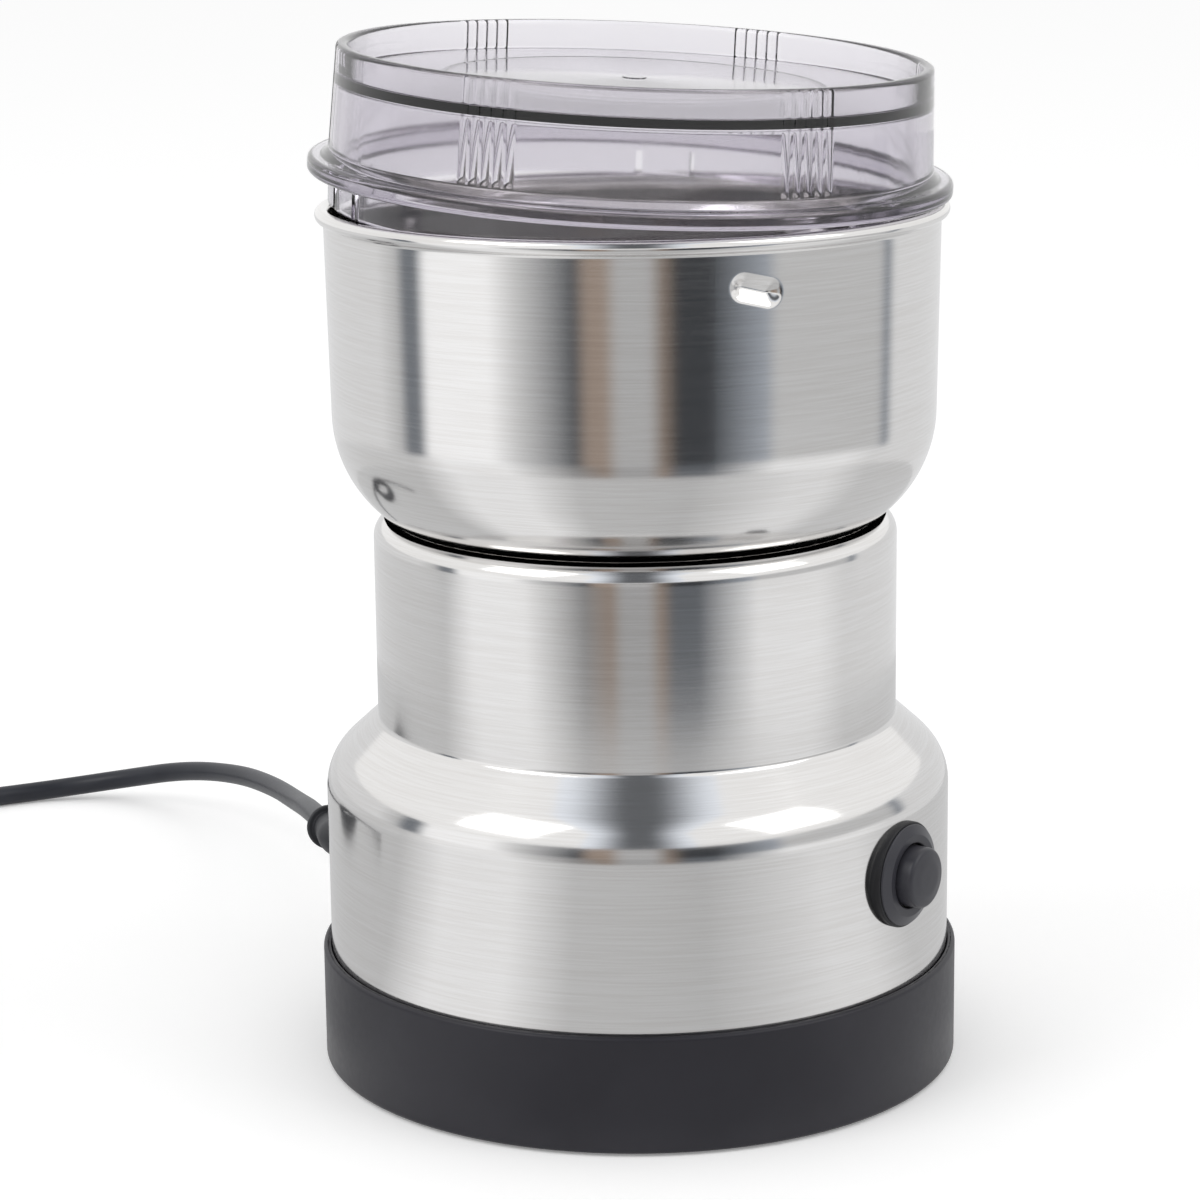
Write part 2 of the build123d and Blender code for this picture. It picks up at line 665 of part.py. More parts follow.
def make_lid_cover():
    inner_r = SKIRT_R - LID_WALL
    rim_in = LID_TOP_R - LID_WALL
    disc_top = LID_HIGH - LID_SINK
    lid = turned([
        (0, disc_top + LID_DOME - LID_DISC),
        (inner_r - 1.2, disc_top - LID_DISC, 0.6),
        (inner_r, -SKIRT_DEEP, 0.4),
        (SKIRT_R, -SKIRT_DEEP, 0.5),
        (SKIRT_R, 0, 0.3),
        (FLANGE_R, 0, 0.9),
        (FLANGE_R, FLANGE_HIGH, 0.9),
        (LID_FOOT_R + 1.0, FLANGE_HIGH, 0.6),
        (LID_FOOT_R - 0.1, FLANGE_HIGH + 1.2, 0.8),
        (LID_TOP_R, LID_HIGH, 0.8),
        (rim_in, LID_HIGH, 0.8),
        (rim_in - 0.3, disc_top, 0.4),
        (DISC_STEP_R + DISC_STEP, disc_top + LID_DOME / 2, 0.2),
        (DISC_STEP_R, disc_top + LID_DOME / 2 - DISC_STEP, 0.2),
        (0, disc_top + LID_DOME),
    ])
    lid += rod(GATE_R, disc_top + LID_DOME - 0.4, disc_top + LID_DOME + GATE_HIGH)
    for i in range(3):
        tab = Rot(0, 0, TAB_FIRST + 120 * i) * Pos((TAB_R + inner_r) / 2, 0, 0) * block(
            TAB_R - inner_r - 0.3, 2 * TAB_HALF - 1.2, -TAB_DEEP, -SKIRT_DEEP + 0.6)
        lid += tab & rod(TAB_R, -TAB_DEEP, 0)
        for side in (-1, 1):
            angle = SLIT_FIRST + 120 * i + side * SLIT_ASIDE
            lid -= Rot(0, 0, angle) * block(5.0, SLIT_WIDE, -SKIRT_DEEP - 1, -1.0, SKIRT_R - 1)
    lean = math.degrees(math.atan((LID_FOOT_R - LID_TOP_R) / (LID_HIGH - FLANGE_HIGH)))
    flute = Rot(0, -lean, 0) * rod(FLUTE_R, 0, LID_HIGH)
    foot_r = LID_FOOT_R + FLUTE_OUT
    for group in range(FLUTE_GROUPS):
        middle = FLUTE_FIRST + group * 360 / FLUTE_GROUPS
        for i in range(FLUTE_COUNT):
            angle = middle + (i - (FLUTE_COUNT - 1) / 2) * FLUTE_STEP
            lid -= Rot(0, 0, angle) * Pos(foot_r, 0, FLANGE_HIGH + 1.4) * flute
    return lid_place(lid)


# ---- push button
def make_switch_gasket():
    gasket = outward(SWITCH_AZ, SWITCH_Z) * rod(GASKET_R, NECK_R, GASKET_FACE, BARREL_R)
    return gasket - rod(SHELL_R, SWITCH_Z - 2 * GASKET_R, SWITCH_Z + 2 * GASKET_R)


def make_switch_bezel():
    hole = BUTTON_R + MOVE_GAP
    bezel = turned([
        (hole, GASKET_FACE),
        (BEZEL_R, GASKET_FACE),
        (BEZEL_R, GASKET_FACE + BEZEL_EDGE, 0.2),
        (BEZEL_R - BEZEL_BEVEL, BEZEL_FACE, 0.3),
        (hole, BEZEL_FACE, 0.3),
    ])
    barrel = rod(BARREL_R, BARREL_BACK, GASKET_FACE, hole)
    return outward(SWITCH_AZ, SWITCH_Z) * (bezel + barrel)


def make_switch_nut():
    front = math.sqrt((SHELL_R - STEEL) ** 2 - SWITCH_NUT_R**2)
    ring = RegularPolygon(SWITCH_NUT_R, 6) - Circle(BARREL_R)
    nut = Pos(0, 0, front - SWITCH_NUT_THICK) * extrude(ring, SWITCH_NUT_THICK)
    return outward(SWITCH_AZ, SWITCH_Z) * nut


def make_switch_housing():
    cup_top = BARREL_BACK + 1.6
    body = block(2 * SWITCH_HALF, SWITCH_HIGH, SWITCH_BACK, SWITCH_FRONT, corner=1)
    body += rod(BARREL_R + 1.4, SWITCH_FRONT, cup_top)
    body -= rod(BARREL_R, SWITCH_FRONT, cup_top)
    body -= rod(STEM_R + MOVE_GAP, SWITCH_FRONT - 6, SWITCH_FRONT)
    return outward(SWITCH_AZ, SWITCH_Z) * body


def make_switch_button():
    flange_top = BARREL_BACK - MOVE_GAP
    flange_low = SWITCH_FRONT + BUTTON_TRAVEL + 0.4
    hollow_r = BUTTON_R - BUTTON_SKIRT
    hollow_top = BUTTON_FACE - 4.0
    stem_low = SWITCH_FRONT - BUTTON_TRAVEL
    button = turned([
        (0, BUTTON_FACE + BUTTON_DOME),
        (BUTTON_R * 0.55, BUTTON_FACE + 0.6 * BUTTON_DOME),
        (BUTTON_R, BUTTON_FACE - 0.35, 0.8),
        (BUTTON_R, flange_top),
        (BUTTON_R + 1.0, flange_top),
        (BUTTON_R + 1.0, flange_low),
        (hollow_r, flange_low),
        (hollow_r, hollow_top),
        (STEM_R, hollow_top),
        (STEM_R, stem_low, 0.4),
        (0, stem_low),
    ])
    return outward(SWITCH_AZ, SWITCH_Z) * button


def make_switch_spring():
    length = BUTTON_FACE - 4.0 - SWITCH_FRONT - 2 * SPRING_WIRE
    helix = Helix(length / 4.5, length, SPRING_R)
    section = Plane(origin=helix @ 0, z_dir=helix % 0) * RegularPolygon(SPRING_WIRE, 6)
    spring = sweep(section, path=helix, is_frenet=True)
    return outward(SWITCH_AZ, SWITCH_Z) * Pos(0, 0, SWITCH_FRONT + SPRING_WIRE) * spring


def make_switch_terminals():
    tab = block(0.8, TERMINAL_WIDE, SWITCH_BACK - TERMINAL_LONG, SWITCH_BACK, 0, TERMINAL_Y)
    pair = [outward(SWITCH_AZ, SWITCH_Z) * Pos(side * TERMINAL_X, 0, 0) * tab for side in (-1, 1)]
    return Compound(pair)


def wire_run(points, radius, bends):
    """Round wire along straight runs with rounded corners."""
    path = FilletPolyline(*points, radius=bends)
    return sweep(Plane(origin=path @ 0, z_dir=path % 0) * Circle(radius), path=path)


def make_internal_leads():
    """The cord's two cores, led round the motor from the relief's tail to the switch."""
    relief = outward(CORD_AZ, CORD_Z)
    switch = outward(SWITCH_AZ, SWITCH_Z)
    leads = []
    for side in (-1, 1):
        start = relief.from_local_coords((side * LEAD_SPACE, 0, RELIEF_TAIL))
        inner = relief.from_local_coords((side * LEAD_SPACE, 0, RELIEF_TAIL - 4))
        tab_foot = TERMINAL_Y - TERMINAL_WIDE / 2
        terminal = switch.from_local_coords((side * TERMINAL_X, tab_foot, SWITCH_BACK - TERMINAL_LONG + 2))
        spread = 1 + side * 0.045
        points = [start, inner]
        for x, y, z in LEAD_ROUTE:
            points.append(Vector(x * spread, y * spread, z))
        points.append(Vector(terminal.X, terminal.Y, LEAD_Z))
        points.append(terminal)
        leads.append(wire_run(points, LEAD_R, LEAD_R + 0.5))
    return Compound(leads)


# ---- mains lead
def make_strain_relief():
    """Bent protector: flange and tail through the shell, a hollowed neck, and a ring that ends it."""
    frame = outward(CORD_AZ, CORD_Z)
    flange_top = SHELL_R + 1.5
    groove_r = RELIEF_FLANGE_R - 0.2
    flange = turned([
        (0, SHELL_R - 2),
        (RELIEF_FLANGE_R, SHELL_R - 2),
        (RELIEF_FLANGE_R, flange_top, 0.5),
        (0, flange_top),
    ])
    relief = frame * flange - rod(SHELL_R, CORD_Z - 3 * RELIEF_FLANGE_R, CORD_Z + 3 * RELIEF_FLANGE_R)
    relief += frame * rod(RELIEF_TAIL_R, SHELL_R - 3, SHELL_R + 0.5)
    inside = math.sqrt((SHELL_R - STEEL) ** 2 - groove_r**2) - SLIP_GAP
    relief += frame * turned([
        (0, RELIEF_TAIL),
        (3.0, RELIEF_TAIL, 0.4),
        (4.4, inside - 2.0),
        (groove_r, inside - 2.0, 0.3),
        (groove_r, inside),
        (RELIEF_TAIL_R, inside),
        (RELIEF_TAIL_R, SHELL_R - 2),
        (0, SHELL_R - 2),
    ])
    end, after = Vector(*CORD_ROUTE[0]), Vector(*CORD_ROUTE[1])
    ahead = (after - end).normalized()
    ring_back = end - ahead * 2.0
    start = frame.from_local_coords((0, 0, flange_top - 0.4))
    neck = Bezier(start, start + frame.z_dir * 4.5, ring_back - ahead * 6.5, ring_back + ahead * 0.3)
    sections = []
    for share, radius in ((0.0, 4.7), (0.25, 3.6), (0.5, 3.0), (0.8, 2.9), (1.0, 3.3)):
        sections.append(Plane(origin=neck @ share, z_dir=neck % share) * Circle(radius))
    relief += loft(sections)
    ring = turned([(0, 0), (4.8, 0, 0.6), (4.8, 2.0, 0.6), (0, 2.0)])
    return relief + Plane(origin=ring_back, z_dir=ahead) * ring


def corner_radii(points):
    """Arc radius at each inner point of a route: as large as its two runs allow."""
    corners = [Vector(*point) for point in points]
    radii = []
    for before, here, after in zip(corners, corners[1:], corners[2:]):
        turn = math.radians((here - before).get_angle(after - here))
        shorter = min((here - before).length, (after - here).length)
        radii.append(0.45 * shorter / math.tan(turn / 2))
    return radii


def cord_tube(points):
    """Round tube along a route of straight runs joined by tangent arcs."""
    radii = corner_radii(points)
    path = FilletPolyline(*points, radius=radii)
    tube = sweep(Plane(origin=path @ 0, z_dir=path % 0) * Circle(CORD_R), path=path)
    expected = math.pi * CORD_R**2 * path.length
    print("cord radii", [round(radius, 1) for radius in radii])
    print("cord length", round(path.length, 1), "volume ratio", round(tube.volume / expected, 4))
    return tube


def coil_centre():
    """Middle of the coil, whose outer turn is tangent to the end of the cord's route."""
    end, before = Vector(*CORD_ROUTE[-1]), Vector(*CORD_ROUTE[-2])
    ahead = (end - before).normalized()
    outer_turn = COIL_R + 2 * CORD_R
    return end + ahead * COIL_STUB + Vector(-ahead.Y, ahead.X) * outer_turn


def plug_points():
    """Route from the coil's upper layer to the plug."""
    middle = coil_centre()
    return [(middle.X + x, middle.Y + y, z) for x, y, z in PLUG_ROUTE]


def make_power_cord():
    return cord_tube(CORD_ROUTE)


def make_plug_cord():
    return cord_tube(plug_points())


def coil_section():
    """Lowest and highest level, and inner and outer radius, of the coil's two layers of turns."""
    low = CORD_FLOOR - CORD_R - COIL_PLAY
    high = CORD_UPPER + CORD_R + COIL_PLAY
    return low, high, COIL_R - 3 * CORD_R - COIL_PLAY, COIL_R + 3 * CORD_R + COIL_PLAY


def coil_ring():
    """Closed outer shape of the turns, three side by side on the surface and as many on them."""
    low, high, inner, outer = coil_section()
    round_off = CORD_R - 0.1
    return turned([
        (inner, low, round_off),
        (outer, low, round_off),
        (outer, high, round_off),
        (inner, high, round_off),
    ])


def tie_band():
    """Band round the coil's section, closed under it and lying in a groove of it."""
    low, high, inner, outer = coil_section()
    wide = outer - inner
    band = block(wide + 2 * TIE_THICK, TIE_WIDE, low, high + TIE_THICK, COIL_R)
    band -= block(wide - TIE_THICK, TIE_WIDE, low + TIE_THICK, high - 0.2, COIL_R)
    return Rot(0, 0, TIE_AZ) * band


def make_cord_coil():
    middle = coil_centre()
    coil = Pos(middle.X, middle.Y, 0) * (coil_ring() - tie_band())
    for points in (CORD_ROUTE[::-1], plug_points()):
        end, ahead = Vector(*points[0]), Vector(*points[1])
        back = (end - ahead).normalized()
        coil += Plane(origin=end, z_dir=back) * rod(CORD_R, 0, COIL_STUB)
    return coil


def make_cord_tie():
    middle = coil_centre()
    band_top = coil_section()[1] + TIE_THICK
    twist = block(1.4, 6.0, band_top, band_top + 1.2, COIL_R)
    tie = tie_band() + Rot(0, 0, TIE_AZ) * twist
    return Pos(middle.X, middle.Y, 0) * tie


def plug_frame():
    """Frame of the plug on the surface: X out of its back towards the pins, Z up."""
    points = plug_points()
    end, before = Vector(*points[-1]), Vector(*points[-2])
    ahead = (end - before).normalized()
    level = Vector(ahead.X, ahead.Y).normalized()
    back = end + ahead * SLEEVE_LONG
    return Plane(origin=(back.X, back.Y, 0), x_dir=level, z_dir=(0, 0, 1)), end, ahead


def make_plug_body():
    frame, end, ahead = plug_frame()
    low = CORD_FLOOR - CORD_R
    half, neck = PLUG_WIDE / 2, PLUG_BACK_WIDE / 2
    wing = PLUG_LONG - PLUG_NOSE
    outline = rounded_edges([
        (0, -neck, 2),
        (wing - 7, -neck - 3.5, 5),
        (wing, -half, 4),
        (PLUG_LONG, -half, 2),
        (PLUG_LONG, half, 2),
        (wing, half, 4),
        (wing - 7, neck + 3.5, 5),
        (0, neck, 2),
    ])
    body = Pos(0, 0, low) * extrude(make_face(outline), PLUG_HIGH)
    top_and_bottom = body.edges().group_by(Axis.Z)[0] + body.edges().group_by(Axis.Z)[-1]
    body = frame * chamfer(top_and_bottom, 1.2)
    middle = frame.origin + Vector(0, 0, low + PLUG_HIGH / 2) + frame.x_dir * 0.5
    sleeve = loft([
        Plane(origin=end, z_dir=ahead) * Circle(CORD_R + 0.9),
        Plane(origin=middle, z_dir=frame.x_dir) * Circle(CORD_R + 2.6),
    ])
    return body + sleeve


def make_plug_pins():
    frame, _, _ = plug_frame()
    height = CORD_FLOOR - CORD_R + PLUG_HIGH / 2
    pin = turned([(0, 0), (PIN_R, 0), (PIN_R, PIN_LONG, 1.0), (0, PIN_LONG)])
    pins = []
    for side in (-1, 1):
        root = frame.from_local_coords((PLUG_LONG, side * PIN_SPACE / 2, height))
        pins.append(Plane(origin=root, z_dir=frame.x_dir) * pin)
    return Compound(pins)


for name, maker in (
    ("base_ring", make_base_ring),
    ("base_plate", make_base_plate),
    ("rubber_feet", make_rubber_feet),
    ("base_screws", make_base_screws),
    ("body_shell", make_body_shell),
    ("bowl", make_bowl),
    ("bowl_screws", make_bowl_screws),
    ("bowl_mount", make_bowl_mount),
    ("bowl_seal", make_bowl_seal),
    ("upper_bearing", make_upper_bearing),
    ("lower_bearing", make_lower_bearing),
    ("lower_bracket", make_lower_bracket),
    ("stator_core", make_stator_core),
    ("field_coils", make_field_coils),
    ("motor_screws", make_motor_screws),
    ("brush_holders", make_brush_holders),
    ("carbon_brushes", make_carbon_brushes),
    ("brush_springs", make_brush_springs),
    ("motor_shaft", make_motor_shaft),
    ("armature_core", make_armature_core),
    ("armature_winding", make_armature_winding),
    ("commutator", make_commutator),
    ("cooling_fan", make_cooling_fan),
    ("blade_spacer", make_blade_spacer),
    ("blade", make_blade),
    ("blade_washer", make_blade_washer),
    ("blade_nut", make_blade_nut),
    ("lid_cover", make_lid_cover),
    ("switch_gasket", make_switch_gasket),
    ("switch_bezel", make_switch_bezel),
    ("switch_nut", make_switch_nut),
    ("switch_housing", make_switch_housing),
    ("switch_button", make_switch_button),
    ("switch_spring", make_switch_spring),
    ("switch_terminals", make_switch_terminals),
    ("internal_leads", make_internal_leads),
    ("strain_relief", make_strain_relief),
    ("power_cord", make_power_cord),
    ("cord_coil", make_cord_coil),
    ("cord_tie", make_cord_tie),
    ("plug_cord", make_plug_cord),
    ("plug_body", make_plug_body),
    ("plug_pins", make_plug_pins),
):
    export_step(maker(), f"parts/{name}.step")
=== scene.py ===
import bpy
import numpy as np
from mathutils import Matrix


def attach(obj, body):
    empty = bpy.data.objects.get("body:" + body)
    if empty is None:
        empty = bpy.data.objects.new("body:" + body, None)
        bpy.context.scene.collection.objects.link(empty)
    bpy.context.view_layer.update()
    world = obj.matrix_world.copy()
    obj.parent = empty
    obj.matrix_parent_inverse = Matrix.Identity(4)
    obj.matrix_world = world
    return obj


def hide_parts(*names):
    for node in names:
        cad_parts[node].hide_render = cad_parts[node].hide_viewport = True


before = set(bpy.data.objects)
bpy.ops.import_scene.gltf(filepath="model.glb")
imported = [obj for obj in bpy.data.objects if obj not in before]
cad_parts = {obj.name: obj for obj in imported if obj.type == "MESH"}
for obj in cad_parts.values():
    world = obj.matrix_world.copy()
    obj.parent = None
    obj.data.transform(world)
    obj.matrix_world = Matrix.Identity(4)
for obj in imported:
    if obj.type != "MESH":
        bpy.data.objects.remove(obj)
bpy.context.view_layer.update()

# ---- Camera
# A long lens on a tripod stands in front of the grinder, a little above its lid, and looks down at it.
# The tripod's head is turned and canted by less than one degree.
tilt, turn, cant = np.radians([13.097, -0.578, -0.687])
camera_place = (0.0, -0.60149, 0.21899)


def facing(right, up, back, place):
    """Matrix of an object that looks away from its back axis, at a place in metres."""
    return Matrix([*np.stack([right, up, back, place], 1).tolist(), (0.0, 0.0, 0.0, 1.0)])


forward = np.array([np.sin(turn) * np.cos(tilt), np.cos(turn) * np.cos(tilt), -np.sin(tilt)])
sideways = np.array([np.cos(turn), -np.sin(turn), 0.0])
upward = np.cross(sideways, forward)
right = np.cos(cant) * sideways + np.sin(cant) * upward
up = np.cos(cant) * upward - np.sin(cant) * sideways
camera = bpy.data.objects.new("camera", bpy.data.cameras.new("camera"))
camera.data.sensor_width = 36.0
camera.data.lens = 109.139
camera.matrix_world = facing(right, up, -forward, camera_place)
bpy.context.scene.collection.objects.link(camera)
bpy.context.scene.camera = camera
bpy.context.scene.view_settings.view_transform = "Standard"

# ---- Mains cord
# A round two-core cord, 4 mm thick and about a metre long, in a soft dark grey PVC jacket.
# It leaves the strain relief, sinks to the table behind the grinder, and is wound up for storage there:
# two and a half turns lie on the table and as many on them, held by a tie, and the plug lies beside.
CORD_R = 2.0
CORD_FLOOR = 2.05
CORD_UPPER = CORD_FLOOR + 2 * CORD_R
COIL_R, COIL_END_AZ = 26, 1980.0
COIL_STEPS_IN, COIL_STEPS_OUT, COIL_CLIMB = [(270, 360), (630, 720)], [(1153, 1253), (1513, 1613)], (870, 960)
cord_route = np.array([
    (-56.1, 31.4, 30.1),
    (-61.6, 56.1, 26.1),
    (-66.1, 81.6, 20.0),
    (-73.3, 106.6, 16.1),
    (-82.9, 128.6, 12.7),
    (-96.2, 145.2, 9.0),
    (-111.1, 154.4, 4.5),
    (-126.8, 155.1, CORD_FLOOR),
    (-143.0, 147.5, CORD_FLOOR),
    (-160.1, 137.0, CORD_FLOOR),
    (-174.5, 126.2, CORD_FLOOR),
])
plug_route = np.array([
    (-26.0, -20.0, CORD_UPPER),
    (-25.8, -34.0, 5.4),
    (-24.0, -48.0, 3.2),
    (-19.5, -61.5, CORD_FLOOR),
    (-11.5, -73.0, 3.1),
    (-1.5, -82.5, 4.9),
])


def eased(value, low, high):
    """Share from 0 to 1 that rises smoothly, as 3t^2 - 2t^3, while value goes from low to high."""
    share = np.clip((value - low) / (high - low), 0, 1)
    return share * share * (3 - 2 * share)


def coil_turns(centre, first, last, step=15.0):
    """Control points of a coil around a centre, wound from one azimuth on to another in degrees.

    The radius falls by one cord's width near the end of each turn on the table; then the cord climbs onto
    the turns below it, and the radius grows again by one width a turn. A quadratic spline runs inside its
    control points by the factor 3/4 + cos(step)/4, which is divided out."""
    count = int(np.ceil((last - first) / step))
    turned = np.linspace(0, last - first, count + 1)
    radius = COIL_R - sum(2 * CORD_R * eased(turned, *step_in) for step_in in COIL_STEPS_IN)
    radius += sum(2 * CORD_R * eased(turned, *step_out) for step_out in COIL_STEPS_OUT)
    radius /= 0.75 + 0.25 * np.cos(np.radians(step))
    height = CORD_FLOOR + (CORD_UPPER - CORD_FLOOR) * eased(turned, *COIL_CLIMB)
    angle = np.radians(first + turned)
    flat = np.stack([radius * np.cos(angle), radius * np.sin(angle)], 1) + centre
    return np.column_stack([flat, height])


heading = cord_route[-1, :2] - cord_route[-2, :2]
heading /= np.linalg.norm(heading)
coil_middle = cord_route[-1, :2] + 16 * heading + COIL_R * np.array([-heading[1], heading[0]])
entry = np.degrees(np.arctan2(-heading[0], heading[1]))
plug_route[:, :2] += coil_middle
coil = coil_turns(coil_middle, entry, COIL_END_AZ)
cord_points = np.concatenate([cord_route, coil, plug_route]) * 0.001

cord_curve = bpy.data.curves.new("mains_cord", "CURVE")
cord_curve.dimensions = "3D"
line = cord_curve.splines.new("NURBS")
line.points.add(len(cord_points) - 1)
line.points.foreach_set("co", np.column_stack([cord_points, np.ones(len(cord_points))]).ravel())
line.order_u = 3
line.use_endpoint_u = True
line.resolution_u = 10
cord_curve.bevel_depth = CORD_R * 0.001
cord_curve.bevel_resolution = 6
cord_curve.use_fill_caps = True
mains_cord = bpy.data.objects.new("mains_cord", cord_curve)
bpy.context.scene.collection.objects.link(mains_cord)


class Wire:
    """An output socket in a material's nodes, on which +, -, * and / add Math nodes."""

    def __init__(self, tree, socket=None):
        self.tree = tree
        self.socket = socket

    def add(self, kind, settings=None, sockets=None, output=0):
        """Add a node of a kind: its settings are set first, then its sockets get values or wires."""
        node = self.tree.nodes.new("ShaderNode" + kind)
        for key, value in (settings or {}).items():
            if key == "stops":
                while len(node.color_ramp.elements) < len(value):
                    node.color_ramp.elements.new(1.0)
                for stop, (place, colour) in zip(node.color_ramp.elements, value):
                    stop.position = place
                    stop.color = colour
            else:
                setattr(node, key, value)
        for key, value in (sockets or {}).items():
            if isinstance(value, Wire):
                self.tree.links.new(value.socket, node.inputs[key])
            else:
                node.inputs[key].default_value = value
        return Wire(self.tree, node.outputs[output])

    def beside(self, output):
        """Another output of the same node, by its number or name."""
        return Wire(self.tree, self.socket.node.outputs[output])

    def calc(self, operation, *values):
        return self.add("Math", {"operation": operation}, dict(enumerate(values)))

    def __add__(self, other):
        return self.calc("ADD", self, other)

    def __radd__(self, other):
        return self.calc("ADD", other, self)

    def __sub__(self, other):
        return self.calc("SUBTRACT", self, other)

    def __mul__(self, other):
        return self.calc("MULTIPLY", self, other)

    def __rmul__(self, other):
        return self.calc("MULTIPLY", other, self)

    def __truediv__(self, other):
        return self.calc("DIVIDE", self, other)

    def place(self):
        """The point on the piece, in metres."""
        return self.add("TexCoord", output="Object")

    def noise(self, where, scale, detail=2.0, rough=0.5):
        """Smooth noise from 0 to 1 over a vector."""
        return self.add("TexNoise", None, {
            "Vector": where, "Scale": scale, "Detail": detail, "Roughness": rough})

    def between(self, low, high, start=0.0, end=1.0):
        """This value, mapped smoothly from low..high to start..end."""
        return self.add("MapRange", {"interpolation_type": "SMOOTHSTEP"}, {
            "Value": self, "From Min": low, "From Max": high, "To Min": start, "To Max": end})

    def blend(self, one, other):
        """Colour that goes from one to the other as this value goes from 0 to 1."""
        return self.add("Mix", {"data_type": "RGBA"}, {0: self, 6: one, 7: other}, 2)

    def bump(self, strength, distance):
        """Normal that this value, as a height, gives the surface."""
        return self.add("Bump", None, {"Height": self, "Strength": strength, "Distance": distance})


def paint(red, green, blue):
    """Linear colour of a painted or moulded surface from its 0 to 255 screen values."""
    share = np.array([red, green, blue]) / 255
    return (*np.where(share < 0.04045, share / 12.92, ((share + 0.055) / 1.055) ** 2.4).tolist(), 1.0)


def new_finish(name, **constants):
    """A material, its Principled shader with these constant values, and a first wire in its nodes."""
    material = bpy.data.materials.new(name)
    material.use_nodes = True
    shader = material.node_tree.nodes["Principled BSDF"]
    for key, value in constants.items():
        shader.inputs[key.replace("_", " ")].default_value = value
    return material, shader, Wire(material.node_tree)


def feed(shader, **wires):
    """Lead wires into the shader's sockets."""
    for key, wire in wires.items():
        wire.tree.links.new(wire.socket, shader.inputs[key.replace("_", " ")])


def soft_plastic(name, dark, light, roughness, grain, bump, **constants):
    """Moulded plastic or rubber: two close tones in soft clouds, and a fine even grain in its gloss."""
    material, shader, wire = new_finish(name, **constants)
    where = wire.place()
    cloud = wire.noise(where, 60.0, 3.0)
    fine = wire.noise(where, grain, 2.0, 0.6)
    feed(shader, Base_Color=cloud.between(0.3, 0.7).blend(dark, light))
    feed(shader, Roughness=roughness - 0.05 + 0.1 * fine)
    feed(shader, Normal=fine.bump(bump, 0.00003))
    return material


cord_finish = soft_plastic(
    "grey_pvc", paint(36, 38, 45), paint(46, 48, 55), 0.34, 1500.0, 0.2, Specular_IOR_Level=0.35)
cord_curve.materials.append(cord_finish)
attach(mains_cord, "housing")
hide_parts("power_cord", "cord_coil", "plug_cord")


def dress(material, *nodes):
    """Give CAD pieces a finish."""
    for node in nodes:
        piece = bpy.data.objects[node]
        if not piece.material_slots:
            piece.data.materials.append(material)
        for held in piece.material_slots:
            held.material = material


# ---- Base ring
# The foot of the body is one moulding of satin black ABS. Its lip holds the steel shell, and its lower
# edge has a small round. Sizes are in millimetres.
BASE_R, BASE_TOP, BASE_LOW = 54.5, 20.1, 0.4
LIP_R, POCKET_R, SHELL_SEAT = 53.2, 51.9, 9.0


def rounded_outline(corners, closed=True, points=9, guard=0.25):
    """Points along an outline of (across, up, round) corners, each turned by an arc of its radius.

    An arc touches both runs at round / tan(half the corner's angle) from the corner, and its centre lies
    on the bisector at round / sin(half). Each arc is swept evenly between its two touching points, and
    a guard point on either run, close to the arc, keeps the run's shading flat."""
    corner = np.array([(c[0], c[1]) for c in corners], float)
    size = np.array([c[2] if len(c) > 2 else 0.02 for c in corners])[:, None]
    back = np.roll(corner, 1, 0) - corner
    ahead = np.roll(corner, -1, 0) - corner
    reach_back = np.linalg.norm(back, axis=1, keepdims=True)
    reach_ahead = np.linalg.norm(ahead, axis=1, keepdims=True)
    back, ahead = back / reach_back, ahead / reach_ahead
    half = np.arccos(np.clip((back * ahead).sum(1, keepdims=True), -1, 1)) / 2
    bisector = (back + ahead) / np.linalg.norm(back + ahead, axis=1, keepdims=True)
    centre = corner + bisector * size / np.sin(half)
    touch = size / np.tan(half)
    sweep = np.pi / 2 - half
    share = np.linspace(-1, 1, points)[None, :, None]
    across = (ahead - back) / np.linalg.norm(ahead - back, axis=1, keepdims=True)
    arc = centre[:, None] + size[:, None] * (
        np.sin(share * sweep[:, None]) * across[:, None] - np.cos(share * sweep[:, None]) * bisector[:, None])
    before = corner + back * np.minimum(touch + guard, reach_back / 2)
    after = corner + ahead * np.minimum(touch + guard, reach_ahead / 2)
    walk = np.concatenate([before[:, None], arc, after[:, None]], 1)
    if not closed:
        walk[0], walk[-1] = corner[0], corner[-1]
    walk = walk.reshape(-1, 2)
    fresh = np.linalg.norm(walk - np.roll(walk, 1, 0), axis=1) > 1e-5
    fresh[0] = True
    return walk[fresh]


def whole_turn(count=360):
    """Azimuths once round the axis, in degrees."""
    return np.arange(count) * 360 / count


def turned_points(outline, azimuths):
    """Grid of an outline's (radius, height) points, carried round the axis to each azimuth."""
    angle = np.radians(azimuths)[None, :]
    radius, height = outline[:, :1], outline[:, 1:]
    return np.stack([radius * np.cos(angle), radius * np.sin(angle), height + 0 * angle], -1)


